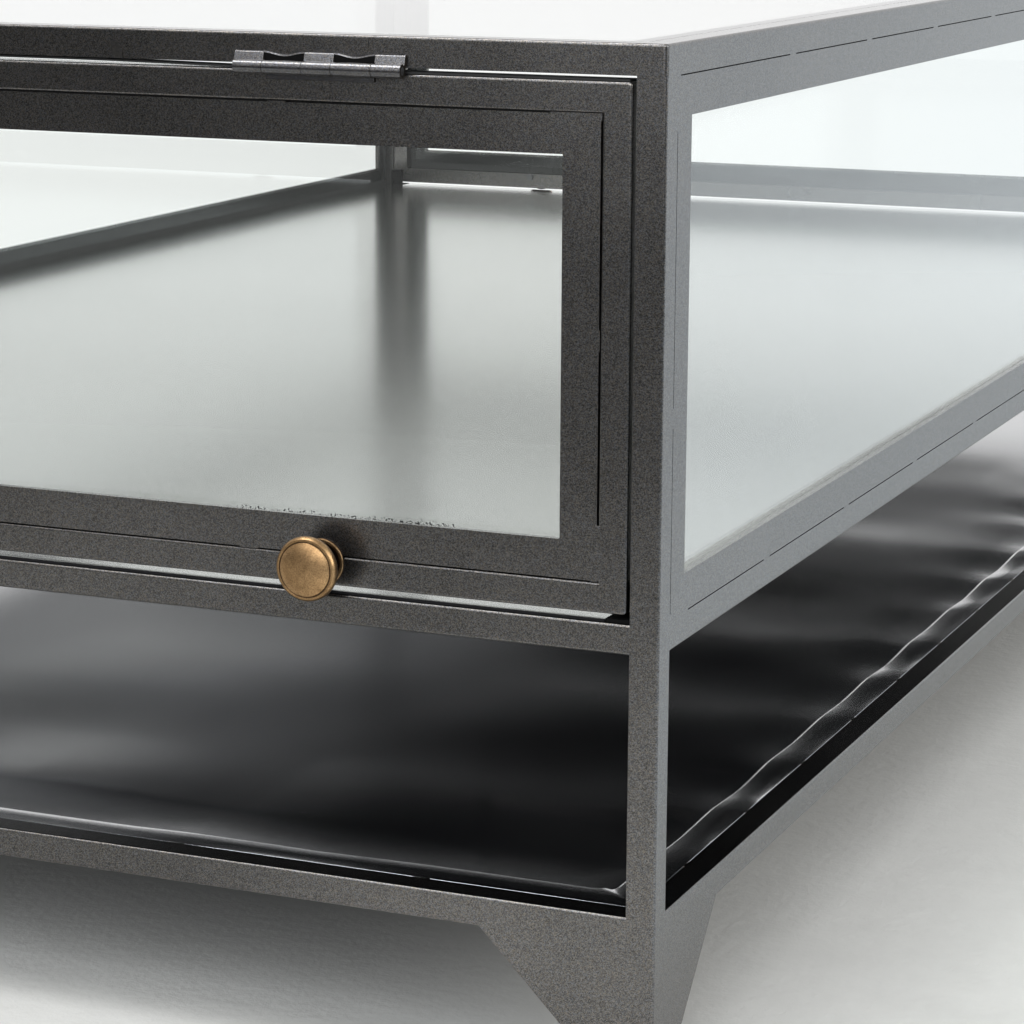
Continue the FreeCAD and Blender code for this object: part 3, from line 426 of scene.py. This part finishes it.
def pick(piece, kind, wanted):
    """Select the vertices or edges of a piece in edit mode whose test on the place of their points holds."""
    bpy.ops.mesh.select_mode(type="VERT")
    bpy.ops.mesh.select_all(action="DESELECT")
    bpy.ops.mesh.select_mode(type={"vertices": "VERT", "edges": "EDGE"}[kind])
    bpy.ops.object.mode_set(mode="OBJECT")
    points = [vertex.co for vertex in piece.data.vertices]
    if kind == "vertices":
        for vertex in piece.data.vertices:
            vertex.select = wanted(vertex.co)
    else:
        for edge in piece.data.edges:
            edge.select = wanted(*(points[end] for end in edge.vertices))
    bpy.ops.object.mode_set(mode="EDIT")


def cut_across(axis, places):
    """Bisect everything by planes square to one axis."""
    normal = [0, 0, 0]
    normal[axis] = 1
    for at in places:
        point = [0, 0, 0]
        point[axis] = at
        bpy.ops.mesh.select_all(action="SELECT")
        bpy.ops.mesh.bisect(plane_co=point, plane_no=normal)


def start_block(name, size, middle):
    """Add a block of the given size at its place, and stay in edit mode with all of it selected."""
    piece = start_piece(name, bpy.ops.mesh.primitive_cube_add, size=1)
    bpy.ops.transform.resize(value=size)
    bpy.ops.transform.translate(value=middle)
    return piece


def push(radius, lift):
    """Lift what is selected, with a soft falloff over the radius round it."""
    bpy.ops.transform.translate(value=(0, 0, lift), use_proportional_edit=True, proportional_size=radius,
                                proportional_edit_falloff="SMOOTH")


def row_of(count, step):
    """The modifier that repeats a piece, each copy a step from the last."""
    return "ARRAY", {"count": count, "use_relative_offset": False, "use_constant_offset": True,
                     "constant_offset_displace": step}


def soft_edges(width, least_angle):
    """The modifier that rounds every edge sharper than an angle."""
    return "BEVEL", {"width": width, "segments": 2, "limit_method": "ANGLE", "angle_limit": least_angle}


def finish_piece(piece, material, angle=35, modifiers=()):
    """Leave edit mode with faces outwards, shade smooth, give the finish and apply the modifiers."""
    bpy.ops.mesh.select_all(action="SELECT")
    bpy.ops.mesh.remove_doubles(threshold=1e-6)
    bpy.ops.mesh.normals_make_consistent(inside=False)
    bpy.ops.object.mode_set(mode="OBJECT")
    for kind, settings in modifiers:
        modifier = piece.modifiers.new(kind.lower(), kind)
        for key, value in settings.items():
            setattr(modifier, key, value)
        bpy.ops.object.modifier_apply(modifier=modifier.name)
    bpy.ops.object.transform_apply(location=True, rotation=True, scale=True)
    bpy.ops.object.shade_smooth_by_angle(angle=math.radians(angle))
    piece.data.materials.clear()
    piece.data.materials.append(material)
    return piece


# ---------------------------------------------------------------------------------------------------
# Lower tray: its rim is tacked to the rails and pulled down between the tacks, and its field buckles
# ---------------------------------------------------------------------------------------------------
SHELF_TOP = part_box("lower_shelf")[1].z
RAIL_INSIDE = (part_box("bottom_rail_right")[0].x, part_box("bottom_rail_back")[0].y)
SEAM = 0.5 * MM
RIM = 16.2 * MM
RIM_FALL = 0.6 * MM
SIDE_FALL = 1.0 * MM
CREASE_CORNER = 11 * MM
TRAY_SHEET = 1.5 * MM
TACK = 8.5 * MM
# Inside of the bottom frame, half its width and half its length, and how far in the first tacks sit, in mm
INSIDE = (397.3, 737.3)
SIDE_MARGIN = 64.0
END_MARGIN = 98.7


def tack_places(half_length, margin, gaps):
    """Places of the tacks along a seam, evenly spaced, with the same margin at both its ends."""
    return [(margin - half_length + i * (2 * half_length - 2 * margin) / gaps) * MM for i in range(gaps + 1)]


SIDE_TACKS = tack_places(INSIDE[1], SIDE_MARGIN, 16)
END_TACKS = tack_places(INSIDE[0], END_MARGIN, 5)
# Extra cuts after each tack, so that the sheet can be pulled and buckled
SIDE_CUTS = (21 * MM, 42 * MM, 63 * MM)
END_CUTS = (30 * MM, 60 * MM, 90 * MM)
# How far the crease is drawn down between the tacks of the sides and the ends, in mm, over how wide a
# stretch, and how much that differs from gap to gap
SIDE_PULL = 1.3
END_PULL = 0.4
SIDE_STRETCH = 13 * MM
END_STRETCH = 20 * MM
UNEVEN = 0.35
UNEVEN_STRIDE = 2.3
# The fold at the foot of the rim: the width and the fall of its short turn, its slope and its foot, in mm
FOLD = ((0.5, 0.12), (2.2, 2.2), (1.0, 0.18))
# Steps by which the ends fall near their middle: half-width, reach out over the rim, and fall, in mm
END_FALLS = ((150, 1, 0.3), (190, 1, 0.2), (240, 1, 0.2), (110, 12, 0.15), (160, 12, 0.15))
# How much is broken off the sheet's edge at the sides and at the ends
SIDE_BEVEL = 0.18 * MM
END_BEVEL = 0.06 * MM
# Each buckle: its middle, how far the sheet stands up there, and the radius of the swell, in mm
BUCKLES = [
    (230, 560, 2.6, 400),
    (70, -690, 1.6, 90),
    (0, -600, -1.6, 110),
    (40, -470, 1.4, 110),
    (240, -640, 1.3, 80),
    (300, -540, -1.2, 80),
    (270, -460, 1.3, 80),
    (330, -370, -1.4, 80),
    (250, -290, 1.3, 80),
    (300, -200, -1.2, 90),
    (240, -60, 1.4, 110),
    (300, 90, -1.4, 110),
    (240, 350, 1.7, 140),
    (-230, -520, 1.4, 130),
    (-290, -330, -1.3, 120),
    (-140, -120, -1.4, 150),
    (-260, 120, 1.3, 140),
    (-180, 380, -1.3, 130),
    (20, 420, 1.2, 130),
    (120, 600, -1.3, 120),
    (-250, 620, 1.2, 110),
]


def pull_rim(tray, crease_x, crease_y):
    """Draw the crease down between the tacks, a little differently in each gap."""
    step = SIDE_TACKS[1] - SIDE_TACKS[0]
    gaps = [(side * crease_x, tack + step / 2) for side in (-1, 1) for tack in SIDE_TACKS[:-1]]
    step = END_TACKS[1] - END_TACKS[0]
    gaps += [(tack + step / 2, end * crease_y) for end in (-1, 1) for tack in END_TACKS[:-1]]
    for number, (x, y) in enumerate(gaps):
        at_side = abs(x) > crease_x - MM
        near = SIDE_STRETCH if at_side else END_STRETCH
        depth = (SIDE_PULL if at_side else END_PULL) * (1 + UNEVEN * math.sin(UNEVEN_STRIDE * number))
        pick(tray, "vertices", lambda p: abs(p.x - x) < 4 * MM and abs(p.y - y) < near or
             abs(p.y - y) < 4 * MM and abs(p.x - x) < near)
        push(3.2 * near, -depth * MM)


def tray_sheet(side_x, side_y, crease_x, crease_y):
    """The sheet before it is pulled: its rim falls to the crease, and the fold stands round the field."""
    tray = start_piece("lower_tray", bpy.ops.mesh.primitive_plane_add, size=2)
    bpy.ops.transform.resize(value=(side_x, side_y, 1))
    bpy.ops.mesh.delete(type="ONLY_FACE")
    bpy.ops.mesh.primitive_plane_add(size=2)
    bpy.ops.transform.resize(value=(crease_x, crease_y, 1))
    bpy.ops.mesh.bevel(affect="VERTICES", offset=CREASE_CORNER, segments=7, profile=0.5)
    bpy.ops.mesh.delete(type="ONLY_FACE")
    bpy.ops.transform.translate(value=(0, 0, -RIM_FALL))
    bpy.ops.mesh.select_all(action="SELECT")
    bpy.ops.mesh.bridge_edge_loops(number_cuts=1, interpolation="LINEAR")
    bpy.ops.mesh.select_all(action="SELECT")
    bpy.ops.transform.translate(value=(0, 0, SHELF_TOP))
    inside_x, inside_y = crease_x + MM / 2, crease_y + MM / 2
    pick(tray, "edges", lambda a, b: max(abs(a.x), abs(b.x)) < inside_x and
         max(abs(a.y), abs(b.y)) < inside_y)
    bpy.ops.mesh.edge_face_add()
    for width, fall in FOLD:
        bpy.ops.mesh.inset(thickness=width * MM)
        bpy.ops.transform.translate(value=(0, 0, -fall * MM))
    return tray


def cut_at_tacks(crease_x, crease_y):
    """Cut the sheet across at the ends of each tack and between the tacks, short of the corners."""
    side_cuts = [tack + step for tack in SIDE_TACKS for step in (-TACK / 2, TACK / 2, *SIDE_CUTS)]
    end_cuts = [tack + step for tack in END_TACKS for step in (-TACK / 2, TACK / 2, *END_CUTS)]
    cut_across(1, [y for y in side_cuts if abs(y) < crease_y - 16 * MM])
    cut_across(0, [x for x in end_cuts if abs(x) < crease_x - 16 * MM])


def lower_crease(tray, crease_x, crease_y):
    """Let the crease fall along the sides, and in steps towards the middle of the ends."""
    pick(tray, "vertices", lambda p: abs(p.x) > crease_x - 4 * MM and abs(p.x) < crease_x + MM)
    bpy.ops.transform.translate(value=(0, 0, -SIDE_FALL))
    for half_width, shade_line, fall in END_FALLS:
        pick(tray, "vertices", lambda p: abs(p.x) < half_width * MM and abs(p.y) > crease_y - 4 * MM and
             abs(p.y) < crease_y + shade_line * MM)
        bpy.ops.transform.translate(value=(0, 0, -fall * MM))


def buckle_field(tray, crease_x, crease_y):
    """Swell the field up and down inside the fold."""
    pick(tray, "vertices", lambda p: abs(p.x) > crease_x - 5 * MM or abs(p.y) > crease_y - 5 * MM)
    bpy.ops.mesh.hide()
    for x, y, lift, radius in BUCKLES:
        pick(tray, "vertices", lambda p: math.hypot(p.x - x * MM, p.y - y * MM) < 25 * MM)
        push(radius * MM, lift * MM)


def break_cut_edge(tray, side_x, side_y):
    """Take the sharpness off the upper edge of the sheet where it was cut."""
    for along, far_out, width in ((0, side_x, SIDE_BEVEL), (1, side_y, END_BEVEL)):
        pick(tray, "edges", lambda a, b: min(a.z, b.z) > SHELF_TOP - MM / 9 and
             min(abs(a[along]), abs(b[along])) > far_out - MM / 9)
        bpy.ops.mesh.bevel(affect="EDGES", offset=width, segments=1)


def lower_tray():
    """The shelf: a sheet whose edge is fixed to the rails while the rest is pulled and buckled."""
    side_x, side_y = RAIL_INSIDE[0] - SEAM, RAIL_INSIDE[1] - SEAM
    crease_x, crease_y = side_x - RIM, side_y - RIM
    tray = tray_sheet(side_x, side_y, crease_x, crease_y)
    cut_at_tacks(crease_x, crease_y)
    pick(tray, "vertices", lambda p: abs(p.x) > side_x - MM or abs(p.y) > side_y - MM)
    bpy.ops.mesh.hide()
    pull_rim(tray, crease_x, crease_y)
    lower_crease(tray, crease_x, crease_y)
    buckle_field(tray, crease_x, crease_y)
    bpy.ops.mesh.reveal()
    bpy.ops.mesh.select_all(action="SELECT")
    bpy.ops.mesh.extrude_region_move(TRANSFORM_OT_translate={"value": (0, 0, -TRAY_SHEET)})
    break_cut_edge(tray, side_x, side_y)
    finish_piece(tray, SHELF_LACQUER, angle=40)
    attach(tray, "table")
    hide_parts("lower_shelf")


def tray_tacks(name, size, first, step, count, across):
    """A row of short weld beads on the seam, and the same row on the other side."""
    tacks = start_piece(name, bpy.ops.mesh.primitive_cube_add, size=1)
    bpy.ops.transform.resize(value=size)
    bpy.ops.mesh.bevel(affect="EDGES", offset=0.45 * MM, segments=3)
    bpy.ops.transform.translate(value=first)
    finish_piece(tacks, TUBE_LACQUER, modifiers=[row_of(count, step), row_of(2, across)])
    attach(tacks, "table")


def all_tray_tacks():
    """Beads a little proud of the sheet, along both sides and both ends."""
    seam_x, seam_y = RAIL_INSIDE[0] - SEAM / 2, RAIL_INSIDE[1] - SEAM / 2
    low = SHELF_TOP - 0.57 * MM
    wide, tall = 1.6 * MM, 1.2 * MM
    tray_tacks("tray_side_tacks", (wide, TACK, tall), (-seam_x, SIDE_TACKS[0], low),
               (0, SIDE_TACKS[1] - SIDE_TACKS[0], 0), len(SIDE_TACKS), (2 * seam_x, 0, 0))
    tray_tacks("tray_end_tacks", (TACK, wide, tall), (END_TACKS[0], -seam_y, low),
               (END_TACKS[1] - END_TACKS[0], 0, 0), len(END_TACKS), (0, 2 * seam_y, 0))


# ---------------------------------------------------------------------------------------------------
# Knobs: turned heads with a ringed face on dished backplates
# ---------------------------------------------------------------------------------------------------
DOOR_FACE = abs(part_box("front_door_low_tube")[0].y)
# Radius and height of each turn of a profile, from the door's face outwards, in mm
KNOB_PROFILE = [(4.4, 1.6), (4.4, 4.6), (4.8, 6.4), (5.9, 8.2), (8.0, 9.9), (11.0, 10.9), (11.0, 12.5),
                (12.9, 12.5), (13.5, 13.1), (13.8, 14.0), (13.8, 15.4), (13.5, 16.4), (12.9, 17.0),
                (12.0, 17.1), (11.95, 16.6), (11.5, 16.6), (11.45, 17.2), (9.0, 18.1), (6.0, 18.7),
                (2.8, 18.95), (0.4, 19.0)]
BACKPLATE_PROFILE = [(10.3, 0.0), (10.3, 0.9), (10.0, 1.4), (9.5, 1.6), (8.9, 1.5), (8.2, 0.9), (7.2, 0.75),
                     (6.0, 0.7), (5.1, 1.0), (4.6, 1.6), (4.3, 1.6)]


def turned(name, x, outward, profile, finish):
    """Turn a profile on the axis of a knob: each ring is extruded from the last and sized."""
    axis = (x, outward * DOOR_FACE, KNOB_Z)
    piece = start_piece(name, bpy.ops.mesh.primitive_circle_add, vertices=72, radius=profile[0][0] * MM,
                        fill_type="NGON")
    bpy.ops.transform.rotate(value=math.pi / 2, orient_axis="X", center_override=(0, 0, 0))
    bpy.ops.transform.translate(value=(axis[0], axis[1] + outward * profile[0][1] * MM, axis[2]))
    for (radius, height), (next_radius, next_height) in zip(profile, profile[1:]):
        bpy.ops.mesh.extrude_region_move(
            TRANSFORM_OT_translate={"value": (0, outward * (next_height - height) * MM, 0)})
        grow = next_radius / radius
        bpy.ops.transform.resize(value=(grow, 1, grow), center_override=axis)
    return finish_piece(piece, finish, angle=32, modifiers=[soft_edges(0.16 * MM, math.radians(40))])


def knobs():
    """Two knobs and two backplates on each door."""
    for door, outward in (("front_door", -1), ("back_door", 1)):
        for side, x in (("left", -KNOB_X), ("right", KNOB_X)):
            head = turned(f"{door}_knob_{side}", x, outward, KNOB_PROFILE, BRASS)
            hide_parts(f"{door}_knobs")
            plate = turned(f"{door}_backplate_{side}", x, outward, BACKPLATE_PROFILE, SHADED_PLATE_BRASS)
            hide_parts(f"{door}_knob_backplates")
            for piece in (head, plate):
                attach(piece, door)


# ---------------------------------------------------------------------------------------------------
# Hinges: the frame leaf rolls forward over its knuckles, and dips between them
# ---------------------------------------------------------------------------------------------------
HINGE_AXIS = Vector(frame["joints"][0]["pos_m"])
HINGE_X = 260 * MM
LONG_KNUCKLE = 18.0 * MM
SHORT_KNUCKLE = 13.3 * MM
KNUCKLE_PLAY = 0.3 * MM
KNUCKLE_STEP = (SHORT_KNUCKLE + LONG_KNUCKLE) / 2 + KNUCKLE_PLAY
LEAF_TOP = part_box("hinge_frame_leaves")[1].z
LEAF_FACE = 751.3 * MM
BARREL_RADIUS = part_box("hinge_frame_leaves")[1].y - abs(HINGE_AXIS.y)
LEAF_DIP = 1.4 * MM
LEAF_ROUND = 0.8 * MM
LIP = 0.9 * MM
DIP_CUTS = 16
# How far the flank of a cap stands out from the leaf, and how far its top edge leans back
CAP_PROUD = 1.6 * MM
CAP_SLANT = 1.3 * MM


def dip_middle(piece, middle, width, above=0.0):
    """Cut a strip of the leaf across, and bend down the middle of what lies above a height."""
    cut_across(0, [middle + width * (i / DIP_CUTS - 0.5) for i in range(1, DIP_CUTS)])
    pick(piece, "vertices", lambda p: p.z > above and abs(p.x - middle) < MM)
    push(width / 2, -LEAF_DIP)


def hinge_caps(side, x, outward):
    """Three rolled flanks over the knuckles of the frame's leaf, bright at their top edge."""
    flank = LEAF_FACE + CAP_PROUD
    foot = HINGE_AXIS.z + BARREL_RADIUS - 0.6 * MM
    caps = start_block(f"hinge_caps_{side}", (SHORT_KNUCKLE, flank - LEAF_FACE + MM, LEAF_TOP - foot),
                       (x - 2 * KNUCKLE_STEP, outward * (LEAF_FACE - MM + flank) / 2, (foot + LEAF_TOP) / 2))
    pick(caps, "edges", lambda a, b: min(a.z, b.z) > LEAF_TOP - MM / 9 and
         min(abs(a.y), abs(b.y)) > flank - MM / 9)
    bpy.ops.transform.translate(value=(0, -outward * CAP_SLANT, 0))
    bpy.ops.mesh.bevel(affect="EDGES", offset=LEAF_ROUND, segments=1)
    finish_piece(caps, HINGE_LACQUER, angle=15, modifiers=[soft_edges(0.12 * MM, 0.5),
                                                           row_of(3, (2 * KNUCKLE_STEP, 0, 0))])
    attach(caps, "table")


def hinge_shade_plates(side, x, outward):
    """The notches of the leaf over the long knuckles: in each, painted shade as a thin black plate under a raised
    lip.
    """
    middle = x - KNUCKLE_STEP
    width = LONG_KNUCKLE + 1.2 * MM
    foot = HINGE_AXIS.z + BARREL_RADIUS - 0.8 * MM
    proud = 0.08 * MM
    painted_shade_plate = start_block(f"hinge_shade_plates_{side}", (width, 2 * proud, LEAF_TOP - LIP - foot),
                          (middle, outward * LEAF_FACE, (LEAF_TOP - LIP + foot) / 2))
    dip_middle(painted_shade_plate, middle, width, above=foot + MM)
    # The near-black finish here is painted shade, not a part of the hinge.
    finish_piece(painted_shade_plate, BLACK_RUBBER_AND_SHADE, modifiers=[row_of(2, (2 * KNUCKLE_STEP, 0, 0))])
    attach(painted_shade_plate, "table")


def hinge_lips(side, x, outward):
    """The raised, bright upper edge of the leaf where it dips over the long knuckles."""
    middle = x - KNUCKLE_STEP
    width = LONG_KNUCKLE + 1.0 * MM
    deep = 1.3 * MM
    lips = start_block(f"hinge_lips_{side}", (width, deep, LIP),
                       (middle, outward * (LEAF_FACE - deep / 2 + 0.4 * MM), LEAF_TOP - LIP / 2))
    pick(lips, "edges", lambda a, b: min(a.z, b.z) > LEAF_TOP - MM / 9 and
         min(abs(a.y), abs(b.y)) > LEAF_FACE + 0.3 * MM)
    bpy.ops.mesh.bevel(affect="EDGES", offset=LEAF_ROUND, segments=2)
    dip_middle(lips, middle, width)
    finish_piece(lips, HINGE_LACQUER, angle=20, modifiers=[row_of(2, (2 * KNUCKLE_STEP, 0, 0))])
    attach(lips, "table")


def all_hinges():
    """Two hinges on each end of the table."""
    for end, outward in (("front", -1), ("back", 1)):
        for side, x in (("left", -HINGE_X), ("right", HINGE_X)):
            hinge_caps(f"{end}_{side}", x, outward)
            hinge_shade_plates(f"{end}_{side}", x, outward)
            hinge_lips(f"{end}_{side}", x, outward)


# ---------------------------------------------------------------------------------------------------
# Doors: the seal on the top tube and the ground weld near the low corner
# ---------------------------------------------------------------------------------------------------
SEAL_WIDTH = 8 * MM
SEAL_SHORT = 3 * MM
SEAL_CUT = 20 * MM
# How far each seal rises over the tube, and how much more at its middle
FRONT_SEAL = (0.9 * MM, 1.0 * MM)
BACK_SEAL = (2.2 * MM, 0.1 * MM)
WELD_LENGTH = 23 * MM


def door_seal(door, rise, swell):
    """Foam strip on top of a door; it swells towards the middle of the door."""
    low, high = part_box(f"{door}_top_tube")
    seal = start_block(f"{door}_seal", (high.x - low.x - SEAL_SHORT, SEAL_WIDTH, rise),
                       (0, (low.y + high.y) / 2, high.z + rise / 2))
    pick(seal, "edges", lambda a, b: a.z > high.z + MM / 3 and b.z > high.z + MM / 3)
    bpy.ops.mesh.bevel(affect="EDGES", offset=0.35 * MM, segments=2)
    cut_across(0, [x * SEAL_CUT for x in range(-18, 19)])
    pick(seal, "vertices", lambda p: p.z > high.z + MM / 3 and abs(p.x) < 140 * MM)
    push(110 * MM, swell)
    finish_piece(seal, FINISH["glazing_tape"])
    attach(seal, door)


def corner_weld(door, outward):
    """Weld, ground nearly flush, that closes the upright seam near a door's low right corner."""
    low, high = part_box(f"{door}_right_tube")
    seam_x = low.x if outward < 0 else high.x
    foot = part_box(f"{door}_low_tube")[1].z + 0.6 * MM
    weld = start_piece(f"{door}_corner_weld", bpy.ops.mesh.primitive_cube_add, size=1)
    bpy.ops.transform.resize(value=(2.4 * MM, 0.5 * MM, WELD_LENGTH))
    bpy.ops.mesh.bevel(affect="EDGES", offset=0.12 * MM, segments=2)
    bpy.ops.transform.translate(value=(seam_x, outward * (DOOR_FACE - 0.17 * MM), foot + WELD_LENGTH / 2))
    finish_piece(weld, TUBE_LACQUER, angle=15)
    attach(weld, door)


lower_tray()
all_tray_tacks()
knobs()
all_hinges()
door_seal("front_door", *FRONT_SEAL)
door_seal("back_door", *BACK_SEAL)
corner_weld("front_door", -1)
corner_weld("back_door", 1)


# ---------------------------------------------------------------------------------------------------
# Studio: floor, light from all round, and the camera
# ---------------------------------------------------------------------------------------------------
def in_band(tree, where):
    """How much of the dark band lies at a place of the floor."""
    aside = absolute(tree, math_node(tree, "SUBTRACT", where["X"], BAND_MIDDLE))
    return product(tree, spread(tree, aside, *BAND_EDGES, BAND_DARK, 0.0, smooth=True),
                   spread(tree, where["Y"], *BAND_END, 1.0, 0.0))


def pale_floor():
    """Mottled pale ground that turns to plain white some way off, for what looks at it or mirrors it."""
    material, tree = new_material("pale_floor")
    mottle = noise(tree, 6.0, detail=6.0, rough=0.6)
    trowel = noise(tree, 45.0, detail=6.0, rough=0.65)
    ripple = noise(tree, 170.0, detail=4.0, rough=0.6, stretch=(1.0, 0.8, 1.0))
    tone = math_node(tree, "ADD", spread(tree, mottle, 0.3, 0.7, 0.0, 0.6),
                     spread(tree, trowel, 0.3, 0.7, 0.0, 0.4))
    pale = tuple(c * 1.06 for c in FLOOR_COLOUR)
    deep = tuple(c * 0.94 for c in FLOOR_COLOUR)
    place = add_node(tree, "ShaderNodeTexCoord").outputs["Object"]
    distance = add_node(tree, "ShaderNodeVectorMath", {0: place}, operation="LENGTH").outputs["Value"]
    where = axes(tree, place)
    rays = add_node(tree, "ShaderNodeLightPath").outputs
    seen = math_node(tree, "MAXIMUM", rays["Is Camera Ray"], rays["Is Transmission Ray"])
    mirrored = rays["Is Glossy Ray"]
    shade = product(tree, mirrored, in_band(tree, where))
    cool = product(tree, mirrored, spread(tree, where["X"], *COOL_SIDE, 0.0, 1.0, smooth=True))
    colour = mix_colour(tree, shade, mix_colour(tree, tone, deep, pale), (0, 0, 0))
    colour = mix_colour(tree, cool, colour, tuple(c * COOL_FLOOR for c in COOL_WHITE))
    surface = relief(tree, trowel, 0.8 * MM, 0.5)
    ground = shader(tree, {"Base Color": colour, "Roughness": 0.75,
                           "Normal": relief(tree, ripple, 1.0 * MM, 0.5, below=surface)})
    far_light = spread(tree, where["Y"], *DIM_PART, DIM_ROOM, 1.0, smooth=True)
    strength = math_node(tree, "MAXIMUM", seen, product(tree, mirrored, far_light))
    glow = add_node(tree, "ShaderNodeEmission", {"Color": mix_colour(tree, cool, (1, 1, 1), COOL_WHITE),
                                                 "Strength": strength})
    away = spread(tree, distance, *FADE, smooth=True)
    shown = product(tree, away, math_node(tree, "MAXIMUM", seen, mirrored))
    show(tree, mix_shaders(tree, shown, ground, glow.outputs[0]))
    return material


def add_floor():
    bpy.ops.object.select_all(action="DESELECT")
    bpy.ops.mesh.primitive_plane_add(size=2 * FLOOR_HALF)
    floor = bpy.context.object
    floor.name = "studio_floor"
    floor.data.materials.append(pale_floor())


def add_surroundings():
    """White all round for the eye and through glass; for mirrors the room is dim on the front door's side."""
    world = bpy.data.worlds.new("studio")
    bpy.context.scene.world = world
    world.use_nodes = True
    tree = world.node_tree
    tree.nodes.clear()
    output = add_node(tree, "ShaderNodeOutputWorld")
    direction = axes(tree, add_node(tree, "ShaderNodeTexCoord").outputs["Generated"])
    room = spread(tree, direction["Y"], -0.75, 0.1, DIM_ROOM, 1.0, smooth=True)
    above = spread(tree, direction["Z"], 0.1, 0.6, 0.0, 1.0, smooth=True)
    room = math_node(tree, "MAXIMUM", room, above)
    rays = add_node(tree, "ShaderNodeLightPath").outputs
    seen = math_node(tree, "MAXIMUM", rays["Is Camera Ray"], rays["Is Transmission Ray"])
    mirrored = spread(tree, rays["Is Glossy Ray"], 0.0, 1.0, SKY_ON_SURFACES, room)
    strength = math_node(tree, "MAXIMUM", seen, mirrored)
    cool = product(tree, rays["Is Glossy Ray"], spread(tree, direction["X"], 0.0, 0.6))
    tint = mix_colour(tree, cool, (1, 1, 1), COOL_WHITE)
    light = add_node(tree, "ShaderNodeBackground", {"Color": tint, "Strength": strength})
    tree.links.new(light.outputs[0], output.inputs[0])


def add_softbox(name, place, target, size, power, colour):
    """Square softbox at its place, turned to its target."""
    lamp = bpy.data.lights.new(name, "AREA")
    lamp.color = colour
    lamp.shape = "SQUARE"
    lamp.size = size
    lamp.energy = power
    holder = bpy.data.objects.new(name, lamp)
    holder.location = place
    holder.rotation_euler = (Vector(target) - Vector(place)).to_track_quat("-Z", "Y").to_euler()
    bpy.context.scene.collection.objects.link(holder)


def add_camera():
    """Camera turned by its azimuth, tipped down by its fall and rolled a little."""
    azimuth, fall, roll = (math.radians(a) for a in (CAMERA_AZIMUTH, CAMERA_FALL, CAMERA_ROLL))
    ahead = Vector((-math.sin(azimuth) * math.cos(fall), math.cos(azimuth) * math.cos(fall), -math.sin(fall)))
    level = Vector((math.cos(azimuth), math.sin(azimuth), 0))
    down = ahead.cross(level)
    right = math.cos(roll) * level - math.sin(roll) * down
    up = -(math.sin(roll) * level + math.cos(roll) * down)
    turn = Matrix((right, up, -ahead)).transposed()
    data = bpy.data.cameras.new("camera")
    data.lens = CAMERA_LENS
    data.sensor_width = 36
    data.sensor_fit = "HORIZONTAL"
    data.clip_end = 100
    camera = bpy.data.objects.new("camera", data)
    camera.matrix_world = Matrix.Translation(CAMERA_PLACE) @ turn.to_4x4()
    bpy.context.scene.collection.objects.link(camera)
    bpy.context.scene.camera = camera


add_floor()
add_surroundings()
for softbox in SOFTBOXES:
    add_softbox(*softbox)
add_camera()
bpy.context.scene.view_settings.view_transform = "Standard"
